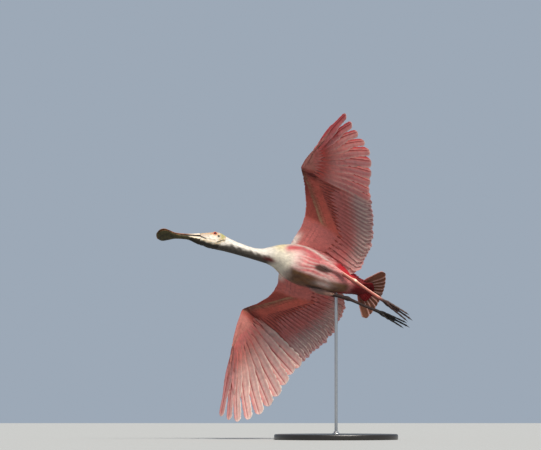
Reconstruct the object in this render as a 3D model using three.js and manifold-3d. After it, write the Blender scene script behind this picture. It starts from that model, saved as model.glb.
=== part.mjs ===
// Roseate spoonbill, life size, banking steeply in flight on a plain display stand.
// Lengths are in millimetres and angles in degrees.
// Bird frame: +x towards the bill, +y to the bird's left, +z to its back, origin midway between the shoulders.
// Row frame: +z up, origin on the floor under the centre of the stand's base.
import * as THREE from "three";
import { mergeVertices } from "three/addons/utils/BufferGeometryUtils.js";
import Module from "manifold-3d";

const wasm = await Module();
wasm.setup();

// Driving dimensions
const GAP = 0.3;
const STAND = { baseRadius: 200, baseHeight: 18, edgeRound: 5, rodRadius: 5, rodDepth: 22, sides: 36 };
const POSE = { bank: 62.3, climb: 18.6, heading: 188.4, origin: [-125, -3, 572] };
const EYE = { radius: 7.5, row: 12.42, side: 20, up: 9.5 };
const BILL = { length: 142.5, root: 5, gape: 1.3, mouthDrop: 1 };
const TAIL = { x: -214, z: -24, feathers: 12, halfSpread: 52, length: 78, outerLength: 96, droop: 9, step: 1.2 };
const PRIMARIES = 10;
const SECONDARIES = 14;
const TERTIALS = 4;
const CAMBER = 9;
const FEATHER = { shaft: 1.2, edge: 0.55, tilt: 9 };
const COVERTS = { length: 0.47, lift: 4 };

const v = (x, y, z) => new THREE.Vector3(x, y, z);
const rad = THREE.MathUtils.degToRad;
const lerp = THREE.MathUtils.lerp;
const mix = (a, b, t) => a.clone().lerp(b, t);
const along = (p, d, t) => p.clone().addScaledVector(d, t);

// A smooth function through a few [place, value] keys.
function profile(keys) {
  const slope = (i) => {
    const a = keys[Math.max(i - 1, 0)];
    const b = keys[Math.min(i + 1, keys.length - 1)];
    return (b[1] - a[1]) / (b[0] - a[0]);
  };
  return (x) => {
    const last = keys.length - 2;
    const i = Math.min(Math.max(keys.findIndex((k) => k[0] > x) - 1, 0), last);
    const k = x >= keys[keys.length - 1][0] ? last : i;
    const span = keys[k + 1][0] - keys[k][0];
    const t = THREE.MathUtils.clamp((x - keys[k][0]) / span, 0, 1);
    const rise = t * t * (3 - 2 * t);
    const bend = t * (1 - t) * ((1 - t) * slope(k) - t * slope(k + 1)) * span;
    return lerp(keys[k][1], keys[k + 1][1], rise) + bend;
  };
}

// Closed solids and meshes

function geometryOf(points, triangles) {
  const positions = new Float32Array(points.flatMap((p) => [p.x, p.y, p.z]));
  const geometry = new THREE.BufferGeometry();
  geometry.setAttribute("position", new THREE.BufferAttribute(positions, 3));
  geometry.setIndex(triangles);
  return geometry;
}

function solidOf(geometry) {
  const bare = geometry.clone();
  bare.deleteAttribute("normal");
  bare.deleteAttribute("uv");
  const merged = mergeVertices(bare, 1e-4);
  const vertProperties = merged.attributes.position.array;
  const triVerts = new Uint32Array(merged.index.array);
  const build = (verts) => new wasm.Manifold(new wasm.Mesh({ numProp: 3, vertProperties, triVerts: verts }));
  const made = build(triVerts);
  return made.volume() < 0 ? build(triVerts.slice().reverse()) : made;
}

function meshOf(name, solid, material) {
  const body = solid.decompose().sort((a, b) => b.volume() - a.volume())[0];
  const { vertProperties, triVerts } = body.getMesh();
  const geometry = new THREE.BufferGeometry();
  geometry.setAttribute("position", new THREE.BufferAttribute(new Float32Array(vertProperties), 3));
  geometry.setIndex(new THREE.BufferAttribute(triVerts, 1));
  geometry.computeVertexNormals();
  const mesh = new THREE.Mesh(geometry, material);
  mesh.name = name;
  return mesh;
}

const join = (solids) => wasm.Manifold.union(solids);

// Skins a row of rings that all have the same number of points, with flat ends.
function loft(rings) {
  const n = rings[0].length;
  const triangles = [];
  for (let i = 0; i + 1 < rings.length; i++)
    for (let j = 0; j < n; j++) {
      const [a, b] = [i * n + j, i * n + ((j + 1) % n)];
      triangles.push(a, b, b + n, a, b + n, a + n);
    }
  const last = (rings.length - 1) * n;
  for (let j = 1; j + 1 < n; j++) triangles.push(0, j + 1, j, last, last + j, last + j + 1);
  return solidOf(geometryOf(rings.flat(), triangles));
}

const ball = (centre, radius, sides = 12) =>
  solidOf(new THREE.SphereGeometry(radius, sides, Math.round(sides * 0.6))).translate(centre.toArray());

// A body whose rows are [x, y, z, half width, height above, depth below, roll], from its rear to its front.
class Limb {
  constructor(rows) {
    this.count = rows.length - 1;
    this.line = new THREE.CatmullRomCurve3(rows.map((r) => v(r[0], r[1], r[2])), false, "catmullrom", 0.5);
    this.size = new THREE.CatmullRomCurve3(rows.map((r) => v(r[3], r[4], r[5])), false, "catmullrom", 0.5);
    this.rolls = rows.map((r) => r[6] ?? 0);
  }

  // The limb's own axes where it has passed so many rows.
  axes(row) {
    const forward = this.line.getTangent(row / this.count);
    const below = Math.min(Math.floor(row), this.count - 1);
    const roll = lerp(this.rolls[below], this.rolls[below + 1], row - below);
    const up = v(0, Math.sin(rad(roll)), Math.cos(rad(roll)));
    const left = up.cross(forward).normalize();
    return { forward, left, up: forward.clone().cross(left), centre: this.line.getPoint(row / this.count) };
  }

  // A point beside the limb's line: so far to its left and so far above it.
  point(row, toLeft, above) {
    const { left, up, centre } = this.axes(row);
    return along(along(centre, left, toLeft), up, above);
  }

  ring(row, sides, grow = 0, shift = 0) {
    const { forward, left, up, centre } = this.axes(row);
    const size = this.size.getPoint(row / this.count);
    return Array.from({ length: sides }, (_, j) => {
      const turn = (2 * Math.PI * j) / sides;
      const high = Math.sin(turn) * ((Math.sin(turn) > 0 ? size.y : size.z) + grow);
      return along(along(along(centre, forward, shift), left, Math.cos(turn) * (size.x + grow)), up, high);
    });
  }

  // What of a solid lies ahead of a row (side 1) or behind it (side -1), half a gap clear of it.
  keep(solid, row, side) {
    const { forward, centre } = this.axes(row);
    const normal = forward.multiplyScalar(side);
    return solid.trimByPlane(normal.toArray(), normal.dot(centre) + GAP / 2);
  }

  // The solid between two rows, drawn back at both ends by half the gap between nodes.
  solid(from, to, rings, sides, grow = 0) {
    return loft(
      Array.from({ length: rings }, (_, i) => {
        const shift = i === 0 ? GAP / 2 : i === rings - 1 ? -GAP / 2 : 0;
        return this.ring(lerp(from, to, i / (rings - 1)), sides, grow, shift);
      }),
    );
  }
}

// A feather is a thin blade on three ribs: its leading edge, shaft and trailing edge, alike on both faces.
// axis gives the shaft, shape the share of the full width at each station, and lead the leading web's share.
function vane({ axis, normal, side, width, shape, lead = 0.45, stations, tilt = FEATHER.tilt, lift = 0 }) {
  const across = side.clone().multiplyScalar(Math.cos(rad(tilt))).addScaledVector(normal, Math.sin(rad(tilt)));
  const points = [];
  stations.forEach((s, i) => {
    const centre = along(axis(s), normal, lift * Math.min(1, (s - stations[0]) * 4));
    const wide = width * shape[i];
    const shaft = lerp(FEATHER.shaft, FEATHER.edge + 0.2, i / (stations.length - 1));
    for (const face of [0.5, -0.5]) {
      points.push(along(along(centre, across, lead * wide), normal, face * FEATHER.edge));
      points.push(along(centre, normal, face * shaft));
      points.push(along(along(centre, across, (lead - 1) * wide), normal, face * FEATHER.edge));
    }
  });
  const triangles = [];
  const quad = (a, b, c, d) => triangles.push(a, b, c, a, c, d);
  for (let p = 0; p + 6 < points.length; p += 6) {
    const q = p + 6;
    for (const j of [0, 1]) {
      triangles.push(p + j, p + j + 1, q + j + 1, p + j, q + j + 1, q + j);
      triangles.push(p + j + 3, q + j + 4, p + j + 4, p + j + 3, q + j + 3, q + j + 4);
    }
    quad(p + 3, p, q, q + 3);
    quad(p + 2, p + 5, q + 5, q + 2);
  }
  const end = points.length - 6;
  for (const j of [0, 1]) {
    triangles.push(j, j + 4, j + 1, j, j + 3, j + 4);
    triangles.push(end + j, end + j + 1, end + j + 4, end + j, end + j + 4, end + j + 3);
  }
  return solidOf(geometryOf(points, triangles));
}

// Left wing: bones, then the flight feathers from the outermost inwards

// Shoulder, elbow, wrist and the tip of the hand
const BONES = [v(0, 45, 15), v(-39, 141, 45), v(82, 268, 111), v(80, 378, 38)];
const bone = (t) => {
  const i = Math.min(Math.floor(t), 2);
  return mix(BONES[i], BONES[i + 1], t - i);
};

// Feathers are numbered from the outermost primary inwards. Rows give a feather's number and where its tip is.
const TIP_ROWS = [
  [0, v(48, 581, -61)],
  [2, v(-1, 557, -109)],
  [4, v(-60, 508, -106)],
  [6, v(-95, 431, -91)],
  [8, v(-117, 354, -55)],
  [10, v(-145, 306, -43)],
  [14, v(-172, 246, -42)],
  [18, v(-193, 187, -41)],
  [22, v(-201, 127, -38)],
  [25, v(-198, 83, -33)],
  [27, v(-188, 53, -36)],
];
const [tipX, tipY, tipZ] = ["x", "y", "z"].map((axis) => profile(TIP_ROWS.map(([k, tip]) => [k, tip[axis]])));
const rootPlace = profile([[0, 2.98], [9, 2.12], [10, 1.96], [23, 1.02], [27, 0.3]]);

function flightFeathers() {
  const made = Array.from({ length: PRIMARIES + SECONDARIES + TERTIALS }, (_, k) => {
    const root = bone(rootPlace(k));
    const reach = v(tipX(k), tipY(k), tipZ(k)).sub(root);
    const isHand = k < PRIMARIES;
    const outer = isHand ? 1 - k / (PRIMARIES - 1) : 0;
    return { place: rootPlace(k), root, dir: reach.clone().normalize(), length: reach.length(), isHand, outer };
  });
  const middle = (k) => {
    const feather = made[THREE.MathUtils.clamp(k, 0, made.length - 1)];
    return along(feather.root, feather.dir, feather.length * 0.6);
  };
  made.forEach((feather, k) => {
    const outwards = middle(k - 1).sub(middle(k + 1));
    feather.normal = outwards.cross(feather.dir).normalize();
    feather.side = feather.dir.clone().cross(feather.normal);
    feather.axis = (t) => {
      const swell = 4 * t * (1 - t);
      const point = along(feather.root, feather.dir, feather.length * t);
      return along(along(point, feather.normal, CAMBER * swell), feather.side, 9 * feather.outer * swell);
    };
  });
  return made;
}

const FLIGHT = flightFeathers();

// The fleshy part of the wing. Each row is the place along the bones, the leading edge beside it, the thickness
// at the bone and how far the flesh runs back from it.
const WING_ROWS = [
  [0.05, v(46, 30, -4), 36, 62],
  [0.3, v(40, 72, 14), 33, 64],
  [0.65, v(29, 108, 32), 28, 64],
  [1.0, v(30, 146, 46), 23, 62],
  [1.3, v(38, 178, 55), 19, 60],
  [1.65, v(58, 221, 77), 17, 56],
  [1.9, v(79, 256, 102), 16, 52],
  [2.05, v(91, 276, 110), 15, 50],
  [2.4, v(93, 318, 80), 13, 46],
  [2.75, v(91, 352, 54), 10, 42],
  [3.0, v(86, 381, 35), 7, 36],
];

// The wing's front edge and thickness beside any place along the bones.
function wingRow(place) {
  const k = THREE.MathUtils.clamp(WING_ROWS.findIndex((row) => row[0] >= place), 1, WING_ROWS.length - 1);
  const [a, b] = [WING_ROWS[k - 1], WING_ROWS[k]];
  const t = THREE.MathUtils.clamp((place - a[0]) / (b[0] - a[0]), 0, 1);
  return { front: mix(a[1], b[1], t), thick: lerp(a[2], b[2], t), back: lerp(a[3], b[3], t) };
}

// One section of the wing's flesh runs from the front edge over the bone and along a feather's first stretch.
function wingSection(feather) {
  const { front, thick, back } = wingRow(feather.place);
  const core = feather.root;
  const half = thick / 2;
  const rear = back / feather.length;
  const spots = [
    [mix(front, core, 0.2), 2.8],
    [mix(front, core, 0.6), Math.max(3, half * 0.55)],
    [core, half],
    [feather.axis(rear * 0.35), half * 0.8],
    [feather.axis(rear * 0.72), Math.max(3.2, half * 0.42)],
    [feather.axis(rear), 1.5],
  ];
  const top = spots.map(([p, h]) => along(p, feather.normal, h));
  const bottom = spots.map(([p, h]) => along(p, feather.normal, -h)).reverse();
  return [front, ...top, ...bottom];
}

// The innermost section lies inside the torso, which it is cut to.
function rootSection() {
  const root = bone(0.05);
  const inner = FLIGHT[FLIGHT.length - 1];
  return wingSection({ ...inner, place: 0.05, root, axis: (t) => mix(root, v(-160, 24, -22), t) });
}

// The flight feather itself, rooted inside the flesh
const flightVane = (f) =>
  vane({
    ...f,
    width: f.isHand ? lerp(50, 36, f.outer ** 2) : 28,
    shape: f.outer > 0.4 ? [0.7, 1, 0.72, 0.25] : [0.7, 1, 0.85, 0.25],
    lead: f.isHand ? lerp(0.42, 0.32, f.outer) : 0.45,
    stations: [(wingRow(f.place).back * 0.66) / f.length, 0.56, 0.9, 1],
  });

// A greater covert over the flight feather's base, on the upper side or the lower one
const covertVane = (f, face) =>
  vane({
    ...f,
    width: f.isHand ? 30 : 26,
    shape: [0.8, 1, 0.35],
    stations: [(wingRow(f.place).back * 0.6) / f.length, COVERTS.length * 0.85, COVERTS.length],
    lift: face * COVERTS.lift,
  });

// The whole left wing is split at the wrist, between the innermost primary and the outermost secondary.
function leftWing(torsoRoom) {
  const sections = FLIGHT.filter((f, k) => k % 2 === 0 || k === FLIGHT.length - 1).map(wingSection);
  const flesh = loft([...sections, rootSection()]);
  const dressed = (isHand) => {
    const feathers = FLIGHT.filter((f) => f.isHand === isHand);
    const covered = feathers.filter((f, k) => k % 2 === 0);
    const coverts = covered.flatMap((f) => [covertVane(f, 1), covertVane(f, -1)]);
    return join([flesh, ...feathers.map(flightVane), ...coverts]);
  };
  const [p, s] = [FLIGHT[PRIMARIES - 1], FLIGHT[PRIMARIES]];
  const dir = mix(p.dir, s.dir, 0.5).normalize();
  const outward = dir.cross(mix(p.normal, s.normal, 0.5).normalize()).normalize();
  const place = mix(p.root, s.root, 0.5).dot(outward);
  const arm = dressed(false).trimByPlane(outward.clone().negate().toArray(), GAP / 2 - place);
  const hand = dressed(true).trimByPlane(outward.toArray(), place + GAP / 2);
  return { arm: arm.subtract(torsoRoom), hand };
}

// Torso, neck and head are one long limb, cut into nodes between its rows.

const SPINE = new Limb([
  [-208, 0, -26, 29, 12, 18],
  [-180, 0, -24, 37, 23, 28],
  [-140, 0, -20, 48, 38, 44],
  [-85, 0, -14, 60, 53, 61],
  [-25, 0, -9, 65, 58, 67],
  [25, 0, -6, 58, 52, 60],
  [62, 0, -7, 42, 40, 44],
  [92, -3, -13, 29, 29, 31],
  [118, -7, -20, 21.5, 21.5, 22],
  [152, -10, -24, 18, 17.5, 18],
  [200, -12, -22, 19, 19, 20, 4],
  [238, -12, -20, 22, 21, 24.5, 10],
  [272, -12, -18, 26, 30, 29, 16],
  [303, -13, -22, 20.5, 19, 23, 16],
  [331, -15, -28, 14.5, 12, 14, 16],
]);
const TORSO = [0, 7.4];
const NECK_SPLIT = 9.3;
const NAPE = 11.3;
const BILL_ROW = 14;

const HEAD = (() => {
  const at = SPINE.axes(BILL_ROW);
  const forward = v(0.957, -0.168, -0.19).normalize();
  const left = at.up.clone().cross(forward).normalize();
  return { forward, left, up: forward.clone().cross(left), centre: at.centre };
})();

const headTurn = new THREE.Matrix4().makeBasis(HEAD.forward, HEAD.left, HEAD.up).setPosition(HEAD.centre);

// Moves a solid that was made about the head's own axes into the bird frame.
const inHead = (solid) => solid.transform(headTurn.toArray());

const slab = (x, y, z, at) => solidOf(new THREE.BoxGeometry(x, y, z)).translate(at);

const eyeCentre = (side) => SPINE.point(EYE.row, side * EYE.side, EYE.up);

// A ring of skin round the eye, just proud of the head
function eyelid(side) {
  const { left, up } = SPINE.axes(EYE.row);
  const facing = left.multiplyScalar(side).addScaledVector(up, 0.2).normalize();
  const ring = new THREE.TorusGeometry(EYE.radius * 0.8, 1.6, 4, 12);
  ring.applyQuaternion(new THREE.Quaternion().setFromUnitVectors(v(0, 0, 1), facing));
  return solidOf(ring).translate(along(eyeCentre(side), facing, 4.4).toArray());
}

function head() {
  const skull = SPINE.solid(NAPE, BILL_ROW, 10, 16);
  const sockets = [1, -1].map((side) => ball(eyeCentre(side), EYE.radius + GAP));
  const ears = [1, -1].map((side) => ball(SPINE.point(EYE.row - 0.5, side * 25, 3), 3, 8));
  const mouth = inHead(slab(26, 60, 1.2, [-5, 0, -BILL.mouthDrop]));
  return join([skull, eyelid(1), eyelid(-1)]).subtract(join([...sockets, ...ears, mouth]));
}

// The bill is two flat plates that swell into a spoon. sign is 1 for the upper one, -1 for the lower.
const billWidth = profile([[0, 14], [0.2, 11], [0.42, 9.6], [0.6, 12], [0.74, 21], [0.86, 26.5], [0.95, 21], [1, 10]]);
const billDepth = profile([[0, 12], [0.2, 8], [0.45, 5.6], [0.62, 4.4], [0.86, 3.2], [1, 1.6]]);

function mandible(sign) {
  const width = sign > 0 ? 1 : 0.93;
  const places = [0, 0.12, 0.3, 0.5, 0.6, 0.68, 0.75, 0.81, 0.87, 0.92, 0.96, 0.985, 1];
  const droop = sign > 0 ? 0 : rad(BILL.gape);
  const rings = places.map((t) => {
    const x = lerp(-BILL.root, BILL.length - (sign > 0 ? 0 : 4), t);
    const half = billWidth(t) * width;
    const deep = billDepth(t);
    const base = -BILL.mouthDrop + sign * 0.4 - Math.sin(droop) * x;
    const arc = Array.from({ length: 9 }, (_, j) => {
      const turn = (Math.PI * j) / 8;
      return v(x, Math.cos(turn) * half, base + sign * (0.5 + Math.sin(turn) ** 0.8 * deep));
    });
    return [...arc, v(x, -half * 0.9, base), v(x, half * 0.9, base)];
  });
  const plate = SPINE.keep(inHead(loft(rings)), BILL_ROW, 1);
  if (sign < 0) return plate;
  const nostrils = [1, -1].map((side) => slab(11, 1.6, 3, [17, side * 4.6, BILL.mouthDrop + 8]));
  return plate.subtract(inHead(join(nostrils)));
}

// A fan of tail feathers, each lying just under its neighbour nearer the middle, and lowest at both sides
function fan({ count, spread, inner, outer, width, lift, shape, stations }) {
  return Array.from({ length: count }, (_, i) => {
    const out = (2 * i) / (count - 1) - 1;
    const turn = rad(spread * out);
    const drop = rad(TAIL.droop + 4 * Math.abs(out));
    const left = v(Math.sin(turn), Math.cos(turn), 0);
    const dir = v(-Math.cos(turn) * Math.cos(drop), Math.sin(turn) * Math.cos(drop), -Math.sin(drop));
    const normal = dir.clone().cross(left).negate().normalize();
    const below = Math.abs(out) * (count / 2) * TAIL.step + (out > 0 && out < 1.5 / count ? TAIL.step / 2 : 0);
    const start = along(v(TAIL.x, out * 13, TAIL.z), normal, lift - below);
    return vane({
      axis: (s) => along(start, dir, lerp(inner, outer, out * out) * s),
      normal,
      side: left.multiplyScalar(Math.sign(out)),
      width,
      shape,
      stations,
      tilt: 2,
    });
  });
}

// The tail: a short root that carries a fan of twelve feathers, with shorter ones above and below it
function tail() {
  const stub = loft(
    [0, 0.5, 1].map((t) =>
      Array.from({ length: 12 }, (_, j) => {
        const turn = (2 * Math.PI * j) / 12;
        const x = -200 - 38 * t;
        return v(x, Math.cos(turn) * lerp(29, 24, t), -27 - 4 * t + Math.sin(turn) * lerp(13, 5, t));
      }),
    ),
  );
  const covert = { spread: 38, width: 22, shape: [0.8, 1, 0.35], stations: [0.1, 0.8, 1] };
  const feathers = [
    ...fan({
      count: TAIL.feathers,
      spread: TAIL.halfSpread,
      inner: TAIL.length,
      outer: TAIL.outerLength,
      width: 26,
      lift: 3,
      shape: [0.5, 1, 0.85, 0.3],
      stations: [0.05, 0.55, 0.92, 1],
    }),
    ...fan({ ...covert, count: 6, inner: 44, outer: 46, lift: 7 }),
    ...fan({ ...covert, count: 6, inner: 52, outer: 54, lift: -5 }),
  ];
  return SPINE.keep(join([stub, ...feathers]), TORSO[0], -1);
}

// Left leg, trailing under the tail: rows as for the spine, from the thigh to the toes' root

const LEG = new Limb([
  [-396, 15, -166, 4, 4, 4],
  [-294, 21, -113, 5.4, 5.2, 5.2],
  [-240, 27, -90, 4.6, 4.6, 4.6],
  [-200, 31.5, -72, 5.2, 5.2, 5.2],
  [-187, 33, -67, 8, 7.2, 7.2],
  [-172, 35, -64, 6, 5.8, 5.8],
  [-148, 39, -59, 6.2, 6, 6],
  [-122, 43, -53, 8.5, 9, 10],
  [-92, 42, -46, 17, 19, 17],
  [-58, 36, -36, 22, 24, 22],
]);
const TOE_ROOT = 1;
const HEEL = 3.55;
const THIGH = 6.5;

function foot() {
  const { forward, left, up, centre } = LEG.axes(TOE_ROOT);
  const back = forward.clone().negate();
  const start = along(centre, back, GAP / 2);
  const toe = (length, spread, dip, radius, from) => {
    const dir = back.clone().addScaledVector(left, Math.sin(rad(spread))).addScaledVector(up, Math.sin(rad(dip)));
    dir.normalize();
    const side = dir.clone().cross(up).normalize();
    const high = side.clone().cross(dir);
    const places = [0, 0.3, 0.45, 0.58, 0.84, 0.86, 1];
    const swell = [1, 0.95, 0.74, 0.86, 0.7, 0.42, 0.12];
    const rings = places.map((t, i) => {
      const centreLine = along(along(from, dir, length * t), up, -5 * t * t);
      return Array.from({ length: 6 }, (_, j) => {
        const turn = (2 * Math.PI * j) / 6;
        const out = Math.cos(turn) * radius * swell[i];
        return along(along(centreLine, side, out), high, Math.sin(turn) * radius * swell[i]);
      });
    });
    return loft(rings);
  };
  const palm = loft(
    [0, 0.4, 1].map((t) =>
      Array.from({ length: 10 }, (_, j) => {
        const turn = (2 * Math.PI * j) / 10;
        const wide = lerp(5.4, 9.5, Math.min(1, t * 1.6));
        const middle = along(start, back, 22 * t);
        return along(along(middle, left, Math.cos(turn) * wide), up, Math.sin(turn) * lerp(5.2, 3.6, t));
      }),
    ),
  );
  const knuckles = along(start, back, 12);
  const toes = [
    toe(84, 4, 0, 3.6, along(knuckles, left, 5)),
    toe(102, 0, 1.5, 3.8, knuckles),
    toe(90, -4, 0, 3.6, along(knuckles, left, -5)),
    toe(36, 4, -16, 3, along(along(start, back, 5), up, -2)),
  ];
  return join([palm, ...toes]);
}

function leftLeg(torsoRoom) {
  return {
    thigh: LEG.solid(THIGH, 9, 8, 12).subtract(torsoRoom),
    shank: LEG.solid(HEEL, THIGH, 8, 10),
    tarsus: LEG.solid(TOE_ROOT, HEEL, 8, 10),
    foot: foot(),
  };
}

// Materials

const finish = (color, roughness, metalness = 0) => new THREE.MeshStandardMaterial({ color, roughness, metalness });
const MATERIALS = {
  neck: finish(0xe9ddd0, 0.85),
  torso: finish(0xdf8f8c, 0.85),
  wing: finish(0xd87c7c, 0.8),
  tail: finish(0xc98a68, 0.8),
  head: finish(0xb9b48f, 0.55),
  bill: finish(0x6d5f45, 0.45),
  eye: finish(0xa81f1c, 0.1),
  leg: finish(0x8a4038, 0.5),
  foot: finish(0x1d1917, 0.55),
  base: finish(0x2a2724, 0.4),
  rod: finish(0xb4b6b8, 0.3, 1),
};

// Assembly

const bird = new THREE.Group();
bird.position.set(...POSE.origin);
bird.rotation.set(rad(POSE.bank), rad(-POSE.climb), rad(POSE.heading), "ZYX");
bird.updateMatrix();

// The rod stands at the row's origin and runs a little way into the torso.
function rodShape(grow, top) {
  const height = top - STAND.baseHeight - GAP;
  const rod = new THREE.CylinderGeometry(STAND.rodRadius + grow, STAND.rodRadius + grow, height + grow, 16);
  rod.rotateX(Math.PI / 2).translate(0, 0, STAND.baseHeight + GAP + (height + grow) / 2);
  return rod;
}

function torsoUnderside(torso) {
  const probe = rodShape(0, POSE.origin[2] + 200).applyMatrix4(bird.matrix.clone().invert());
  const shared = solidOf(probe).intersect(torso).transform(bird.matrix.toArray());
  return shared.boundingBox().min[2];
}

const torsoWhole = SPINE.solid(...TORSO, 17, 20);
const torsoGrown = SPINE.solid(...TORSO, 17, 20, GAP);
const torsoRoom = join([torsoGrown, torsoGrown.mirror([0, 1, 0])]);
const rodTop = torsoUnderside(torsoWhole) + STAND.rodDepth;
const rodRoom = solidOf(rodShape(GAP, rodTop).applyMatrix4(bird.matrix.clone().invert()));
const wing = leftWing(torsoRoom);
const leg = leftLeg(torsoRoom);

const centred = [
  ["torso", torsoWhole.subtract(rodRoom), MATERIALS.torso],
  ["neck_lower", SPINE.solid(TORSO[1], NECK_SPLIT, 5, 16), MATERIALS.neck],
  ["neck_upper", SPINE.solid(NECK_SPLIT, NAPE, 6, 16), MATERIALS.neck],
  ["head", head(), MATERIALS.head],
  ["bill_upper", mandible(1), MATERIALS.bill],
  ["bill_lower", mandible(-1), MATERIALS.bill],
  ["eye_left", ball(eyeCentre(1), EYE.radius), MATERIALS.eye],
  ["eye_right", ball(eyeCentre(-1), EYE.radius), MATERIALS.eye],
  ["tail", tail(), MATERIALS.tail],
];
const paired = [
  ["wing_arm", wing.arm, MATERIALS.wing],
  ["wing_hand", wing.hand, MATERIALS.wing],
  ["thigh", leg.thigh, MATERIALS.torso],
  ["shank", leg.shank, MATERIALS.leg],
  ["tarsus", leg.tarsus, MATERIALS.leg],
  ["foot", leg.foot, MATERIALS.foot],
];
for (const [name, solid, material] of centred) bird.add(meshOf(name, solid, material));
for (const [name, solid, material] of paired)
  for (const side of [1, -1]) {
    const mesh = meshOf(`${name}_${side > 0 ? "left" : "right"}`, solid, material);
    mesh.scale.y = side;
    bird.add(mesh);
  }

function standBase() {
  const { baseRadius: r, baseHeight: h, edgeRound: e, sides } = STAND;
  const rim = [0, 0.5, 1].map((t) => {
    const turn = (t * Math.PI) / 2;
    return new THREE.Vector2(r - e + e * Math.cos(turn), h - e + e * Math.sin(turn));
  });
  const outline = [new THREE.Vector2(0, 0), new THREE.Vector2(r - 2, 0), new THREE.Vector2(r, 2), ...rim];
  const turned = new THREE.LatheGeometry([...outline, new THREE.Vector2(0, h)], sides);
  return solidOf(turned.rotateX(Math.PI / 2));
}

const part = new THREE.Group();
part.add(bird);
part.add(meshOf("stand_base", standBase(), MATERIALS.base));
part.add(meshOf("stand_rod", solidOf(rodShape(0, rodTop)), MATERIALS.rod));

export default part;
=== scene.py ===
"""Roseate spoonbill, life size, banking steeply in flight on a plain display stand.

Shapes are worked out in millimetres in the bird's own frame (+x towards the bill, +y to its left, +z to its
back), and each finished piece is moved into the model's frame in metres. Places along the body and the legs
are counted in rows of their tables, and places along a wing's bones in bones from the shoulder. The number k
of a wing feather runs from 0 at the wing's tip to 28 at the body.
"""

import math

import bpy
import numpy as np
from mathutils import Euler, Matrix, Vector
from mathutils.bvhtree import BVHTree


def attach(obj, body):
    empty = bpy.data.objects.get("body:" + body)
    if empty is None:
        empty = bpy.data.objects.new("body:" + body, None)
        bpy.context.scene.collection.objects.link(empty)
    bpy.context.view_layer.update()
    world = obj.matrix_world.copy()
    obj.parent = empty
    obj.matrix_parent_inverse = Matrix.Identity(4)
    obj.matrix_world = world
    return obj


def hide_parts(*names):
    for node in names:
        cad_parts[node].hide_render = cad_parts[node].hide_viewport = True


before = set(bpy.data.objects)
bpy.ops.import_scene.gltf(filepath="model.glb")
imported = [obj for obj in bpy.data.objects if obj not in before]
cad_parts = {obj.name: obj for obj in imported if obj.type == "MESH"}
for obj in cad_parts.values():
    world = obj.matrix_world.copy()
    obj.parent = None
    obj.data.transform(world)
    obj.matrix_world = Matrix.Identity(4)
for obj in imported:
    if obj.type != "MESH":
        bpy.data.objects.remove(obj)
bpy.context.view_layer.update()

RNG = np.random.default_rng(7)
TURN = 2 * np.pi
SIDES = ((1, "left"), (-1, "right"))

# The pose and the driving sizes, as in the model's source
POSE_ORIGIN = np.array([-125.0, -3.0, 572.0])
POSE_TURN = np.array(Euler([math.radians(a) for a in (62.3, -18.6, 188.4)], "XYZ").to_matrix())
EYE_RADIUS = 7.5
EYE_ROW, EYE_SIDE, EYE_UP = 13.42, 19.2, 7.6
BILL_LENGTH, BILL_ROOT, BILL_GAPE, MOUTH_DROP, GAPE_RISE = 142.5, 6.0, 1.3, 1.0, -0.12
BILL_DIRECTION = (0.957, -0.168, -0.19)
CAMBER, FINGER_BOW = 9.0, 9
LAST_PRIMARY, LAST_FEATHER, WING_END = 9, 27, 28
STAND_RADIUS, STAND_HEIGHT, STAND_ROD, STAND_EDGE = 200.0, 18.0, 5.0, 5.0

# The camera stands far away, so that the picture is nearly flat; the width is that of the picture in metres
CAMERA_AWAY, FRAME_WIDTH, SENSOR = 60.0, 1.745, 36.0
VIEW_CENTRE = (-0.2116, 0.6925)
SUN_STRENGTH, SUN_SPREAD, SUN_COLOR, SUN_FROM = 7.4, 28, (1.0, 0.95, 0.88), (0.26, -0.52, 0.81)
SKY_COLOR, SKY_STRENGTH = (0.56, 0.66, 0.79, 1), 0.6
FLOOR_SIZE = 5.0

# How deep the coat is from the skin to the tips, how fine the skin's mesh is, and how high the barbs stand
TORSO_COAT, NECK_COAT, WING_COAT = 2.2, 0.7, 1.8
BODY_VOXEL, HEAD_VOXEL, LEG_VOXEL = 2.4, 0.85, 1.0
BARB_DEPTH = 0.0003
# How much the eyes look down, and ahead
EYE_DROOP, EYE_AHEAD = 0.34, 0.12
# How close to the skin a feather's root has to be, and the least share of a feather that a covert has
ROOT_REACH, LEAST_COVERT = 2.2, 0.16
# Where the tail feathers start, and their droop in degrees, with what is added to it at the sides
TAIL_BACK, TAIL_OUT, TAIL_DOWN, TAIL_DROOP, TAIL_ARCH = -214, 13, -24, 9, 4


def rgb(text):
    """A linear colour from an sRGB hex string."""
    values = np.array([int(text[i : i + 2], 16) / 255 for i in (0, 2, 4)])
    return np.where(values < 0.04045, values / 12.92, ((values + 0.055) / 1.055) ** 2.4)


# Plumage
CREAM, YELLOW, BLUSH = rgb("f5eee3"), rgb("e8d7a0"), rgb("f0c4bc")
PINK, ROSY, ROSE = rgb("e58f8c"), rgb("eda7a4"), rgb("dc6b6e")
CARMINE, DARK_RED, SALMON = rgb("cf1428"), rgb("7a1418"), rgb("e0705f")
# Colours of painted shade: a brown for the belly's lower right side, a dark brown under the neck, and a near
# black where the thighs meet the belly
SHADE_BROWN, NECK_SHADE, SHADE = rgb("7d5632"), rgb("362d22"), rgb("3a2216")
MAUVE, TAN, OCHRE, CHESTNUT = rgb("b58c94"), rgb("a98c6a"), rgb("a8745c"), rgb("7c4632")
SHAFT, RED_SHAFT, TAIL_SHAFT = rgb("6f2a28"), rgb("a8343a"), rgb("5a2c1c")
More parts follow.
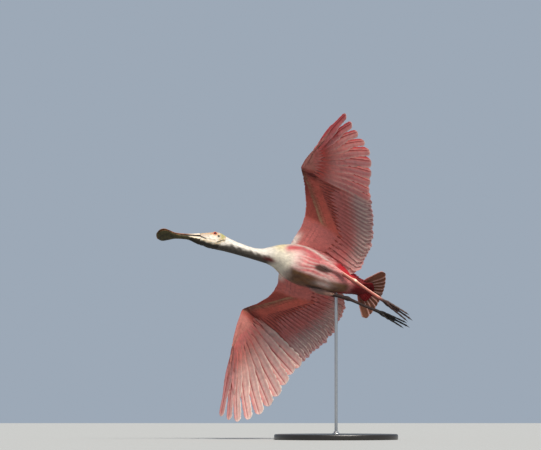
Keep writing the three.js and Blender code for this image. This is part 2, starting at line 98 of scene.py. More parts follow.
# Bare parts
FACE, BONE, BROW, APRICOT, MOSS = rgb("b9a07a"), rgb("e3dccb"), rgb("c08a5a"), rgb("e9a06a"), rgb("9c9a52")
LIPS, FOLD, LID, LID_EDGE = rgb("2a1810"), rgb("8a5a3c"), rgb("c98258"), rgb("5a2a20")
# The first colour is a near black for the throat's dark skin, partly painted shade, and for painted shade at
# the lower bill's root
UNDERSIDE_SHADE, JAW, BLACK = rgb("1a150c"), rgb("cdbfa6"), rgb("14110f")
HORN, OLIVE, RUFOUS = rgb("6b5b3f"), rgb("3d3820"), rgb("8a4a28")
# The second colour is a painted highlight for the side of the leg that faces the light
LEG, LEG_HIGHLIGHT, ANKLE_SKIN = rgb("8a4a40"), rgb("e0b09e"), rgb("e6d6ba")
# The eye's rings: pupil, iris and rim, from its middle outwards
EYE_STOPS = [
    (0.0, "050404"),
    (0.24, "050404"),
    (0.28, "560806"),
    (0.42, "a0140e"),
    (0.6, "7c0d0a"),
    (0.68, "3a0f0b"),
]


def unit(a):
    return a / np.maximum(np.linalg.norm(a, axis=-1, keepdims=True), 1e-12)


def circle(n):
    """Angles of n points evenly round a circle."""
    return np.linspace(0, TURN, n, endpoint=False)


def ramp(x, low, high):
    """0 below low, 1 above high, and smooth between them."""
    t = np.clip((x - low) / (high - low), 0, 1)
    return t * t * (3 - 2 * t)


def blend(a, b, t):
    """Colour a where t is 0 and b where it is 1."""
    return a + (b - a) * np.asarray(t)[..., None]


def paint(tint, *layers):
    """Lays (colour, share) layers over a tint, one after another."""
    for color, share in layers:
        tint = blend(tint, color, share)
    return tint


def hump(x, middle, width):
    return np.exp(-(((x - middle) / width) ** 2))


def wobble(p, scale, seed=0.0):
    """A smooth, repeatable noise between about -1 and 1 from a few crossed waves."""
    q = np.asarray(p) / scale
    x, y, z = q[..., 0] + seed, q[..., 1] - seed, q[..., 2] + 2 * seed
    first = np.sin(1.7 * x + 2.3 * np.sin(y + 0.6 * z)) + np.sin(2.1 * y - 1.3 * np.sin(1.4 * z + x))
    second = np.sin(1.9 * z + 1.1 * np.sin(1.2 * x - 0.8 * y))
    return (first + second) / 3


def catmull(points, place):
    """A point on a smooth line through the rows, at any place counted in rows."""
    place = np.asarray(place, float)
    ends = np.vstack([2 * points[0] - points[1], points, 2 * points[-1] - points[-2]])
    place = np.clip(place, 0, len(points) - 1)
    i = np.minimum(place.astype(int), len(points) - 2)
    w = (place - i)[..., None]
    a, b, c, d = (ends[i + step] for step in range(4))
    first, second = (c - a) / 2, (d - b) / 2
    ahead = w * w * (3 - 2 * w)
    return b + (c - b) * ahead + first * w * (1 - w) ** 2 - second * w * w * (1 - w)


def profile(keys):
    """A smooth function through a few (place, value) keys."""
    places, values = np.array(keys, float).T
    before = np.maximum(np.arange(len(keys)) - 1, 0)
    after = np.minimum(np.arange(len(keys)) + 1, len(keys) - 1)
    slopes = (values[after] - values[before]) / (places[after] - places[before])

    def at(x):
        x = np.asarray(x, float)
        i = np.clip(np.searchsorted(places, x, "right") - 1, 0, len(keys) - 2)
        span = places[i + 1] - places[i]
        t = np.clip((x - places[i]) / span, 0, 1)
        bend = t * (1 - t) * ((1 - t) * slopes[i] - t * slopes[i + 1]) * span
        return values[i] + (values[i + 1] - values[i]) * t * t * (3 - 2 * t) + bend

    return at


class Limb:
    """A body of rows (x, y, z, half width, height above, depth below, roll), from its rear to its front."""

    def __init__(self, rows):
        rows = np.array([(*row, 0)[:7] for row in rows], float)
        self.line, self.size, self.roll = rows[:, :3], rows[:, 3:6], rows[:, 6]
        self.count = len(rows) - 1

    def axes(self, row):
        """Forward, left and up at a row."""
        row = np.asarray(row, float)
        step = 0.001 * self.count
        forward = unit(catmull(self.line, row + step) - catmull(self.line, row - step))
        roll = np.radians(np.interp(row, np.arange(self.count + 1), self.roll))
        up = np.stack([np.zeros_like(roll), np.sin(roll), np.cos(roll)], -1)
        left = unit(np.cross(up, forward))
        return forward, left, np.cross(forward, left)

    def surface(self, row, angle, height):
        """The point on the body at a row and an angle (0 left, a quarter turn the back), so far above it."""
        row, angle, height = np.broadcast_arrays(row, angle, height)
        _, left, up = self.axes(row)
        size = catmull(self.size, row)
        tall = np.where(np.sin(angle) > 0, size[..., 1], size[..., 2]) + height
        wide = (np.cos(angle) * (size[..., 0] + height))[..., None]
        return catmull(self.line, row) + left * wide + up * (np.sin(angle) * tall)[..., None]

    def point(self, row, to_left=0.0, above=0.0):
        _, left, up = self.axes(row)
        return catmull(self.line, row) + left * to_left + up * above

    def unwrap(self, row, angle):
        """The bake map: once round from side to side, and root to tip upwards."""
        return np.stack([(angle / TURN) % 1, row / self.count], -1)


# Torso, neck and head, with a stub of tail behind them, as in the model's source
BODY = Limb([
    (-245, 0, -31, 24, 5, 8),
    (-208, 0, -26, 29, 12, 18),
    (-180, 0, -24, 37, 23, 28),
    (-140, 0, -20, 48, 38, 44),
    (-85, 0, -14, 60, 53, 61),
    (-25, 0, -9, 65, 58, 67),
    (25, 0, -6, 58, 52, 60),
    (62, 0, -7, 42, 40, 44),
    (92, -3, -13, 29, 29, 31),
    (118, -7, -20, 21.5, 21.5, 22),
    (152, -10, -24, 18, 17.5, 18),
    (200, -12, -22, 19, 19, 20, 4),
    (238, -12, -20, 22, 21, 24.5, 10),
    (272, -12, -18, 26, 30, 29, 16),
    (303, -13, -22, 20.5, 19, 23, 16),
    (331, -15, -28, 14.5, 12, 14, 16),
])
NAPE, MOUTH_END, BILL_ROW = 12.3, 14.1, 15

# Left leg, from the toes' root to the thigh
LEFT_LEG = Limb([
    (-396, 15, -166, 4, 4, 4),
    (-294, 21, -113, 5.4, 5.2, 5.2),
    (-240, 27, -90, 4.6, 4.6, 4.6),
    (-200, 31.5, -72, 5.2, 5.2, 5.2),
    (-187, 33, -67, 8, 7.2, 7.2),
    (-172, 35, -64, 6, 5.8, 5.8),
    (-148, 39, -59, 6.2, 6, 6),
    (-122, 43, -53, 8.5, 9, 10),
    (-92, 42, -46, 17, 19, 17),
    (-58, 36, -36, 22, 24, 22),
])
TOE_ROOT, ANKLE, THIGH, THIGH_END = 1.0, 4.0, 6.5, 9

# Left wing: shoulder, elbow, wrist and the tip of the hand
BONES = np.array([(0, 45, 15), (-39, 141, 45), (82, 268, 111), (80, 378, 38)], float)
# Where feather k ends: k, x, y, z
TIP_ROWS = np.array([
    (0, 48, 581, -61),
    (2, -1, 557, -109),
    (4, -60, 508, -106),
    (6, -95, 431, -91),
    (8, -117, 354, -55),
    (10, -145, 306, -43),
    (14, -172, 246, -42),
    (18, -193, 187, -41),
    (22, -201, 127, -38),
    (25, -198, 83, -33),
    (27, -188, 53, -36),
    (28, -160, 24, -22),
])
TIP_AXES = [profile(TIP_ROWS[:, [0, axis]]) for axis in (1, 2, 3)]
# Where feather k starts, counted along the bones
ROOT_PLACE = profile([(0, 2.98), (9, 2.12), (10, 1.96), (23, 1.02), (27, 0.3), (28, 0.05)])
# Place along the bones, the leading edge beside it, the thickness at the bone and the flesh's reach behind it
WING_ROWS = np.array([
    (0.05, 46, 30, -4, 36, 62),
    (0.3, 40, 72, 14, 33, 64),
    (0.65, 29, 108, 32, 28, 64),
    (1.0, 30, 146, 46, 23, 62),
    (1.3, 38, 178, 55, 19, 60),
    (1.65, 58, 221, 77, 17, 56),
    (1.9, 79, 256, 102, 16, 52),
    (2.05, 91, 276, 110, 15, 50),
    (2.4, 93, 318, 80, 13, 46),
    (2.75, 91, 352, 54, 10, 42),
    (3.0, 86, 381, 35, 7, 36),
])


def wing_root(k):
    place = np.clip(ROOT_PLACE(k), 0, 3)
    i = np.minimum(place.astype(int), 2)
    w = (place - i)[..., None]
    return BONES[i] * (1 - w) + BONES[i + 1] * w


def wing_tip(k):
    return np.stack([axis(k) for axis in TIP_AXES], -1)


def wing_middle(k):
    """A point past the middle of feather k, from which the wing's tilt is read."""
    k = np.clip(k, 0, LAST_FEATHER)
    start = wing_root(k)
    return start + (wing_tip(k) - start) * 0.6


def wing_axes(k):
    """Root, direction, length, dorsal normal and outward side of the feather with number k, whole or not."""
    k = np.asarray(k, float)
    root = wing_root(k)
    reach = wing_tip(k) - root
    length = np.linalg.norm(reach, axis=-1, keepdims=True)
    direction = reach / length
    number = np.clip(k, 0, LAST_FEATHER)
    normal = unit(np.cross(wing_middle(number - 1) - wing_middle(number + 1), direction))
    return root, direction, length, normal, np.cross(direction, normal)


def outer_share(k):
    return np.clip(1 - np.asarray(k) / LAST_PRIMARY, 0, 1)


def feather_line(k, t):
    """A point on the bent shaft of feather k, at a share t of its length."""
    root, direction, length, normal, side = wing_axes(k)
    t = np.asarray(t, float)[..., None]
    swell = 4 * t * (1 - t)
    bow = FINGER_BOW * outer_share(k)[..., None]
    return root + direction * length * t + normal * CAMBER * swell + side * bow * swell


def wing_row(k):
    """Leading edge, thickness at the bone and reach of the flesh beside feather k."""
    place = ROOT_PLACE(k)
    columns = [np.interp(place, WING_ROWS[:, 0], WING_ROWS[:, c]) for c in range(1, 6)]
    return np.stack(columns[:3], -1), columns[3], columns[4]


def wing_half(k, chord):
    """Half the flesh's thickness: chord is -1 at the leading edge, 0 at the bone, 1 where the flesh ends."""
    places = [-1, -0.93, -0.5, -0.2, 0, 0.35, 0.72, 1, 1.4]
    share = np.interp(chord, places, [0, 0, 0, 0.72, 1, 0.8, 0.42, 0, 0])
    least = np.interp(chord, places, [0.5, 2.4, 3.2, 0, 0, 0, 0.8, 1.5, 1.2])
    return share * wing_row(k)[1] / 2 + least


def wing_sheet(k, chord):
    """The middle of the wing's flesh, with the dorsal normal there."""
    front, _, back = wing_row(k)
    root, _, length, normal, _ = wing_axes(k)
    behind = feather_line(k, np.maximum(chord, 0) * back / length[..., 0])
    ahead = root + (front - root) * np.clip(-chord, 0, 1)[..., None]
    return np.where((chord < 0)[..., None], ahead, behind), normal


def wing_surface(face):
    """The wing's upper (face 1) or lower (face -1) side, as surface(chord, k, height)."""

    def surface(chord, k, height):
        chord, k, height = np.broadcast_arrays(chord, k, height)
        middle, normal = wing_sheet(k, chord)
        return middle + normal * (face * (wing_half(k, chord) + height))[..., None]

    return surface


# Meshes


def placed(points):
    return (points @ POSE_TURN.T + POSE_ORIGIN) * 0.001


def mirrored(points, side):
    return points * np.array([1, side, 1])


def mirrored_shell(shell, side):
    points, faces = shell
    return mirrored(points, side), faces


def mesh_of(name, points, faces):
    """A mesh from points and a list of face tables, each with its own number of corners a face."""
    mesh = bpy.data.meshes.new(name)
    corners = np.concatenate([f.ravel() for f in faces]).astype(np.int32)
    sizes = np.concatenate([np.full(len(f), f.shape[1]) for f in faces])
    starts = np.concatenate([[0], np.cumsum(sizes)[:-1]]).astype(np.int32)
    mesh.vertices.add(len(points))
    mesh.vertices.foreach_set("co", points.astype(np.float32).ravel())
    mesh.loops.add(len(corners))
    mesh.loops.foreach_set("vertex_index", corners)
    mesh.polygons.add(len(sizes))
    mesh.polygons.foreach_set("loop_start", starts)
    mesh.update(calc_edges=True)
    mesh.shade_smooth()
    return mesh


def corners_of(mesh):
    """The number of the point at each face corner."""
    corners = np.empty(len(mesh.loops), np.int32)
    mesh.loops.foreach_get("vertex_index", corners)
    return corners


def linked(name, data):
    """A new object in the scene."""
    made = bpy.data.objects.new(name, data)
    bpy.context.scene.collection.objects.link(made)
    return made


def shown(name, mesh, material, replaced=()):
    """Makes a mesh a piece of the model."""
    piece = linked(name, mesh)
    mesh.materials.append(material)
    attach(piece, "root")
    if replaced:
        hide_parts(*replaced)


class Build:
    """Gathers points, faces and their colours for one mesh."""

    def __init__(self):
        self.points, self.faces, self.tints, self.uvs, self.barbs = [], [], [], [], []
        self.count = 0

    def add(self, points, faces, tint, uv=None, barb=0.0):
        n = len(points)
        self.points.append(points)
        self.faces += [np.asarray(f) + self.count for f in faces]
        self.tints.append(np.broadcast_to(tint, (n, 3)))
        self.uvs += [] if uv is None else [uv]
        self.barbs.append(np.broadcast_to(barb, n))
        self.count += n

    def mesh(self, name):
        """The mesh, with point colours, barb values and, where they are given, a bake map."""
        mesh = mesh_of(name, placed(np.concatenate(self.points)), self.faces)
        color = np.ones((self.count, 4), np.float32)
        color[:, :3] = np.clip(np.concatenate(self.tints), 0, 1)
        mesh.attributes.new("tint", "FLOAT_COLOR", "POINT").data.foreach_set("color", color.ravel())
        barb = np.concatenate(self.barbs).astype(np.float32)
        mesh.attributes.new("barb", "FLOAT", "POINT").data.foreach_set("value", barb)
        if self.uvs:
            uv = np.concatenate(self.uvs).astype(np.float32)[corners_of(mesh)]
            mesh.uv_layers.new(name="OFBake").data.foreach_set("uv", uv.ravel())
        return mesh

    def show(self, name, material, slot, replaced=()):
        shown(name, self.mesh(name), material, replaced)


def tube(rings):
    """Points and faces of a closed tube through rings (rings, points, 3)."""
    m, n = rings.shape[:2]
    i, j = np.meshgrid(np.arange(m - 1), np.arange(n), indexing="ij")
    a, b = i * n + j, i * n + (j + 1) % n
    quads = np.stack([a, b, b + n, a + n], -1).reshape(-1, 4)
    ends = np.arange(n)[None, :]
    return rings.reshape(-1, 3), [quads, ends[:, ::-1], ends + (m - 1) * n]


def turned_rings(outline, sides):
    """Rings of a shape turned about the upright axis from (radius, height) points."""
    turn = circle(sides)
    ring = np.stack([np.cos(turn), np.sin(turn), np.zeros(sides)], -1)
    outline = np.array(outline, float)
    return outline[:, :1, None] * ring + np.array([0, 0, 1]) * outline[:, 1:, None]


def crossways(facing):
    """Two directions square to facing and to each other."""
    first = unit(np.cross(facing, (0.3, 0.1, 1.0)))
    return first, np.cross(facing, first)


# Materials


class Nodes:
    """Adds nodes to a new material, with their sockets set or linked by name or number."""

    def __init__(self, name):
        self.material = bpy.data.materials.new(name)
        self.material.use_nodes = True
        self.tree = self.material.node_tree
        self.tree.nodes.clear()

    def add(self, kind, inputs, **settings):
        node = self.tree.nodes.new("ShaderNode" + kind)
        for key, value in settings.items():
            setattr(node, key, value)
        for key, value in inputs.items():
            if isinstance(value, bpy.types.NodeSocket):
                self.tree.links.new(value, node.inputs[key])
            else:
                node.inputs[key].default_value = value
        return node

    def out(self, kind, inputs, **settings):
        return self.add(kind, inputs, **settings).outputs[0]

    def barb(self):
        return self.add("Attribute", {}, attribute_name="barb").outputs["Fac"]

    def math(self, operation, a, b=0.0):
        return self.out("Math", {0: a, 1: b}, operation=operation)

    def spots(self, kind, scale, inputs, **settings):
        """A texture that keeps its place on the piece."""
        where = self.add("TexCoord", {}).outputs["Object"]
        return self.out("Tex" + kind, {"Vector": where, "Scale": scale, **inputs}, **settings)

    def noise(self, scale, detail):
        return self.spots("Noise", scale, {"Detail": detail})

    def spread(self, value, low, high, start=0.0, end=1.0):
        """Carries start to low and end to high."""
        return self.out("MapRange", {0: value, 1: start, 2: end, 3: low, 4: high})

    def shaded(self, color, value):
        return self.out("HueSaturation", {"Color": color, "Value": value})

    def tinted(self, scale, amount):
        """The mesh's own colours, made a little lighter and darker by noise."""
        tint = self.add("Attribute", {}, attribute_name="tint").outputs["Color"]
        return self.shaded(tint, self.spread(self.noise(scale, 3.0), 1 - amount, 1 + amount, 0.3, 0.7))

    def bump(self, height, strength, distance):
        return self.out("Bump", {"Height": height, "Strength": strength, "Distance": distance})

    def surface(self, color, roughness, others):
        return self.out("BsdfPrincipled", {"Base Color": color, "Roughness": roughness, **others})

    def done(self, shader):
        self.add("OutputMaterial", {"Surface": shader})
        return self.material


def feather_material(name, through):
    """Matt vanes that let some light through, with fine barbs running out from each shaft."""
    nodes = Nodes(name)
    wave = nodes.math("SINE", nodes.math("MULTIPLY", nodes.barb(), TURN))
    color = nodes.shaded(nodes.tinted(90.0, 0.1), nodes.spread(wave, 0.93, 1.05, -1.0))
    sheen = {"Specular IOR Level": 0.25, "Sheen Weight": 0.15, "Sheen Roughness": 0.5}
    surface = nodes.surface(color, 0.62, {**sheen, "Normal": nodes.bump(wave, 0.4, BARB_DEPTH)})
    glow = nodes.out("BsdfTranslucent", {"Color": nodes.out("Gamma", {"Color": color, "Gamma": 1.1})})
    return nodes.done(nodes.out("MixShader", {0: through, 1: surface, 2: glow}))


def skin_material():
    """Bare skin: wrinkled on the head, and scaly on the legs where the mesh's barb value is 1."""
    nodes = Nodes("bare_skin")
    scales = nodes.spots("Voronoi", 330.0, {}, feature="DISTANCE_TO_EDGE")
    edges = nodes.spread(scales, 0.0, 1.0, 0.0, 0.12)
    height = nodes.out("Mix", {0: nodes.barb(), 2: nodes.noise(320.0, 5.0), 3: edges})
    soft = {"Subsurface Weight": 0.1, "Subsurface Scale": 0.004, "Specular IOR Level": 0.25}
    bump = nodes.bump(height, 0.6, 0.0008)
    return nodes.done(nodes.surface(nodes.tinted(160.0, 0.12), 0.58, {**soft, "Normal": bump}))


def horn_material(name, roughness, scale):
    nodes = Nodes(name)
    noise = nodes.noise(scale, 6.0)
    rough = nodes.spread(noise, roughness - 0.1, roughness + 0.15)
    others = {"Specular IOR Level": 0.2, "Normal": nodes.bump(noise, 0.35, 0.0006)}
    return nodes.done(nodes.surface(nodes.tinted(scale / 2, 0.22), rough, others))


def eye_material():
    """Glossy eye, whose barb value is the angle from its middle in degrees."""
    nodes = Nodes("eye")
    rings = nodes.add("ValToRGB", {0: nodes.math("DIVIDE", nodes.barb(), 90.0)})
    elements = rings.color_ramp.elements
    elements.remove(elements[1])
    elements[0].color = (*rgb(EYE_STOPS[0][1]), 1)
    for place, color in EYE_STOPS[1:]:
        elements.new(place).color = (*rgb(color), 1)
    gloss = {"Specular IOR Level": 0.1, "Coat Weight": 0.12, "Coat Roughness": 0.06}
    return nodes.done(nodes.surface(rings.outputs[0], 0.12, gloss))


def plain_material(name, color, roughness, metallic, scale, depth):
    """A finish of one colour with a fine grain."""
    nodes = Nodes(name)
    noise = nodes.noise(scale, 4.0)
    base = nodes.shaded((*rgb(color), 1), nodes.spread(noise, 0.85, 1.15))
    rough = nodes.spread(noise, roughness - 0.06, roughness + 0.1)
    others = {"Metallic": metallic, "Normal": nodes.bump(noise, 0.2, depth)}
    return nodes.done(nodes.surface(base, rough, others))


# Markings, which skin and coat share


def body_tint(p):
    """Plumage of torso, neck and thighs by its place in the bird's frame, with painted shade on the belly's
    lower right side, under the neck and where the thighs meet the belly, and a flank streak that is partly a
    painted highlight.
    """
    x, y, z = np.moveaxis(p, -1, 0)
    x = x + 7 * wobble(p, 17)
    out = np.abs(y)
    streak = 0.5 + 0.5 * np.sin(y / 3.1 + 0.35 * z + 3 * wobble(p, 20, 5.0))
    below = ramp(4 - z, 0, 24)
    # Painted shade: a mottled dark brown over the belly's underside and right side, where shade falls below
    # the banking body
    painted_belly_shade = blend(SHADE_BROWN, SHADE, 0.5 * ramp(wobble(p, 9, 1.0), -0.3, 0.8))
    belly = ramp(15 - y, 0, 14) * ramp(-z, 14, 44) * ramp(x, -196, -160) * ramp(46 - x, 0, 40)
    band = -17 - 0.42 * np.maximum(5 - x, 0)
    rose = hump(z, band, 18) * ramp(out, 24, 44) * ramp(64 - x, 0, 24) * ramp(x, -100, -50)
    # A pale streak along the top of the flank: partly pale feathers, partly a painted highlight where light
    # falls along it
    pale = hump(z, band + 17, 7) * ramp(out, 30, 44) * ramp(34 - x, 0, 20) * ramp(x, -125, -85)
    patch = hump(x, -100, 30) * hump(out, 11, 13) * ramp(-z, 46, 58)
    # Painted shade in the recess where each thigh meets the belly
    thigh_hollow_shade = hump(x, -76, 28) * hump(out, 38, 10) * hump(z, -64, 11)
    flank = ramp(-x, 100, 132) * ramp(out, 12, 28) * ramp(z, -56, -38)
    # Painted shade under the neck, reaching further up its right side
    under = 0.8 * (-20 - z) - 0.5 * (y + 12) - 10 * ramp(x, 225, 262) + 3 * wobble(p, 6)
    throat = hump(x, 92, 22) * hump(y, -3, 9) * hump(z, -43, 8)
    tint = paint(
        CREAM,
        (PINK, ramp(46 - x, 0, 75)),
        (YELLOW, 0.22 * ramp(x, 10, 45) * ramp(112 - x, 0, 30) * ramp(-z, 10, 40)),
        (CREAM, 0.55 * streak**2 * hump(x, -50, 60) * below),
        (ROSE, 0.5 * (1 - streak) ** 2 * hump(x, -75, 60) * below),
        (painted_belly_shade, 0.95 * belly),
        (YELLOW, 0.75 * hump(x, 66, 20) * hump(out, 38, 18) * ramp(z, -44, -8)),
        (ROSE, 0.9 * rose),
        (CARMINE, 0.45 * rose * hump(x, 30, 16) * hump(z, -20, 9)),
        (CREAM, 0.75 * pale),
        (blend(BLUSH, CREAM, 0.5 * streak), 0.8 * patch),
        (SHADE, 0.95 * ramp(thigh_hollow_shade, 0, 0.6)),
        (CARMINE, 0.95 * flank),
        (DARK_RED, ramp(-x, 176, 200) * ramp(-z, 8, 30)),
        (CARMINE, 0.75 * ramp(-x, 150, 200) * ramp(z, -26, -4)),
        (NECK_SHADE, 0.93 * ramp(under, 3, 12) * ramp(x, 78, 105)),
        (DARK_RED, 0.95 * throat),
    )
    return tint * (0.9 + 0.05 * wobble(p, 5) - 0.16 * ramp(x, 30, 100))[..., None]


def wing_tint(k, chord, face):
    """Plumage of the wing's fleshy part, with painted shade below between the lining's feathers near the
    shoulder and behind the wrist.
    """
    place = ROOT_PLACE(k)
    if face > 0:
        lesser = ramp(-chord, -0.1, 0.5) * ramp(place, 0.35, 0.8) * ramp(2.1 - place, 0, 0.3)
        return paint(PINK, (BLUSH, 0.35 * ramp(chord, -0.2, 1)), (CARMINE, 0.85 * lesser))
    forearm = ramp(place, 0.9, 1.08) * ramp(2.12 - place, 0, 0.1)
    # Painted shade in dark lines between the lining's feathers near the shoulder
    gap_shade = ramp(np.sin(24 * chord + 6 * place), 0.72, 1) * hump(place, 0.55, 0.25) * hump(chord, -0.1, 0.35)
    wave = chord + 0.03 * np.sin(7 * place)
    lines = hump(wave, -0.13, 0.045) + hump(wave, 0.1, 0.03) + hump(wave, 0.2, 0.03)
    lines = np.clip(lines + 0.7 * hump(wave, 0.36, 0.03), 0, 1)
    return paint(
        blend(SALMON, SHAFT, 0.12),
        (blend(DARK_RED, SHAFT, 0.6), 0.48 * forearm * ramp(-chord, 0.1, 0.25)),
        (SALMON, 0.85 * ramp(-chord, 0.86, 0.96)),
        (blend(SALMON, MAUVE, 0.35), 0.85 * ramp(1.05 - place, 0, 0.2)),
        (SHAFT, 0.7 * gap_shade),
        (SHAFT, 0.8 * forearm * lines),
        (TAN, 0.95 * forearm * hump(wave, 0.0, 0.085)),
        (TAN, 0.5 * forearm * (hump(wave, 0.15, 0.025) + hump(wave, 0.28, 0.03))),
        (blend(PINK, TAN, 0.3), 0.8 * ramp(place, 2.08, 2.2)),
        # Painted shadow on the lining behind the wrist
        (SHAFT, 0.6 * hump(place, 2.02, 0.13) * ramp(chord, -0.6, 0.2)),
        (CREAM, 0.85 * ramp(0.62 - place, 0, 0.35) * ramp(-chord, 0.35, 0.85)),
    )


def leg_tint(row, side, rise):
    """Leg skin: dusky red with a painted highlight on the side that faces the light, pale at the ankle on
    that side, and black towards the toes; the right leg is painted nearly black as shade.
    """
    tint = paint(
        LEG,
        # A painted highlight on the side of the leg that faces the light, and the ankle's pale skin shown
        # only on that side
        (LEG_HIGHLIGHT, 0.75 * ramp(rise, 0.1, 0.9)),
        (ANKLE_SKIN, 0.85 * hump(row, ANKLE, 0.32) * ramp(rise, -0.6, 0.6)),
        (BLACK, 0.92 * ramp(TOE_ROOT + 0.55 - row, 0, 0.5)),
    )
    # The right leg is darkened nearly to black as painted shade
    return tint if side > 0 else blend(tint, BLACK, 0.94)


def mouth_line(row):
    """How high the mouth's corner runs on the face, as the sine of the angle about the head."""
    return -0.5 - 0.36 * (BILL_ROW - row)


def throat_side(angle):
    """Grows from the face round to the throat, a little sooner on the right."""
    return -np.sin(angle) - 0.25 * np.cos(angle)


def head_tint(p, row, angle):
    """Bare head: tan brow, pale face, dark gape and ear, a dark throat that is partly its own skin and partly
    painted shade, and a hooked dark band behind the cheek.
    """
    rise, out = np.sin(angle), np.abs(np.cos(angle))
    mottle = 0.5 + 0.5 * wobble(p, 5)
    brow = ramp(rise, -0.05, 0.4) * ramp(row, EYE_ROW + 0.1, EYE_ROW + 0.6)
    cheek = ramp(-rise, 0.05, 0.3) * ramp(0.9 + rise, 0, 0.3) * ramp(row, NAPE + 0.5, NAPE + 1)
    open_end = ramp(row, BILL_ROW - 0.7, BILL_ROW)
    gape = hump(rise, mouth_line(row), 0.05 + 0.13 * open_end) * ramp(row, MOUTH_END, MOUTH_END + 0.35)
    fold = hump(rise, GAPE_RISE, 0.06) + hump(rise, GAPE_RISE - 0.2, 0.05)
    fold = (fold + hump(rise, GAPE_RISE + 0.22, 0.05)) * ramp(row, EYE_ROW + 0.3, EYE_ROW + 0.7)
    line = NAPE + 0.14 - 1.43 * (rise + 0.39) + 0.04 * wobble(p, 7, 2.0)
    band = 1.3 * hump(row, line, 0.075) * ramp(rise, -0.84, -0.76) * ramp(-0.3 - rise, 0, 0.12)
    eye = np.where((np.cos(angle) > 0)[:, None], eye_frame(1)[0], eye_frame(-1)[0])
    from_eye = np.linalg.norm(p - eye, axis=1)
    ear = 1.4 * hump(row, EYE_ROW - 0.36, 0.12) * hump(rise, -0.1, 0.17) * out
    tint = paint(
        FACE,
        (BONE, 0.7 * mottle),
        (BROW, brow * (0.4 + 0.35 * np.sin(24 * rise + 4 * wobble(p, 9)))),
        (APRICOT, 0.6 * hump(row, EYE_ROW + 0.35, 0.3) * ramp(rise, -0.2, 0.4) * mottle),
        (CREAM, 0.55 * cheek),
        (MOSS, 0.8 * hump(row, EYE_ROW - 0.75, 0.24) * ramp(rise, -0.6, -0.1)),
        (LIPS, 0.95 * gape * ramp(out, 0, 0.4)),
        (FOLD, 0.65 * np.clip(fold, 0, 1)),
        # Dark skin under the throat, partly its own colour and partly painted shade, a little higher on the
        # right
        (UNDERSIDE_SHADE, 0.97 * ramp(throat_side(angle) + 0.06 * wobble(p, 6), 0.72, 0.92)),
        (BLACK, 0.96 * np.clip(band, 0, 1)),
        (LID, 0.65 * hump(from_eye, 9.5, 2.2)),
        (LID_EDGE, 0.8 * ramp(8.2 - from_eye, 0, 0.8)),
        (BLACK, 0.95 * np.clip(ear, 0, 1)),
    )
    return tint * (0.6 + 0.06 * wobble(p, 3.5))[:, None]


# Skin


def remeshed(shells, voxel, rounds):
    """One closed surface round overlapping shells (points, faces), in millimetres."""
    build = Build()
    for points, faces in shells:
        build.add(points, faces, BLACK)
    rough = linked("rough", mesh_of("rough", np.concatenate(build.points), build.faces))
    remesh = rough.modifiers.new("remesh", "REMESH")
    remesh.mode, remesh.voxel_size = "VOXEL", voxel
    smooth = rough.modifiers.new("smooth", "SMOOTH")
    smooth.factor, smooth.iterations = 0.5, rounds
    made = bpy.data.meshes.new_from_object(rough.evaluated_get(bpy.context.evaluated_depsgraph_get()))
    co = np.empty(len(made.vertices) * 3, np.float32)
    made.vertices.foreach_get("co", co)
    bpy.data.objects.remove(rough)
    return co.reshape(-1, 3).astype(float), [corners_of(made).reshape(-1, 4)]


def limb_shell(limb, rows, sides, height):
    heights = np.broadcast_to(height, len(rows))[:, None]
    return tube(limb.surface(rows[:, None], circle(sides), heights))


def wing_shell(side):
    """The wing's flesh inside its coat."""
    k = np.linspace(0, WING_END, 57)[:, None]
    chord = np.array([-1, -0.93, -0.8, -0.6, -0.4, -0.2, -0.08, 0, 0.15, 0.35, 0.6, 0.8, 1.0])
    depth = np.where(np.abs(chord) > 0.95, -0.4, -WING_COAT * 0.55)
    top = wing_surface(1)(chord, k, depth)
    bottom = wing_surface(-1)(chord[::-1], k, depth[::-1])
    rings = np.concatenate([top, bottom], 1)[:, ::side]
    return tube(mirrored(rings, side))


def eye_frame(side):
    """The eye's middle and the way it looks."""
    forward, left, up = BODY.axes(EYE_ROW)
    facing = unit(left * side - up * EYE_DROOP + forward * EYE_AHEAD)
    return BODY.point(EYE_ROW, side * EYE_SIDE, EYE_UP), facing


def eyelid(side, ahead, radius, thick):
    """A bead round the eye, so far ahead of its middle."""
    centre, facing = eye_frame(side)
    first, second = crossways(facing)
    turn = np.linspace(0, TURN, 41)[:, None, None]
    out = first * np.cos(turn) + second * np.sin(turn)
    bead = circle(8)[None, :, None]
    rim = out * (radius + np.cos(bead) * thick)
    return tube(centre + facing * ahead + rim + facing * np.sin(bead) * thick)


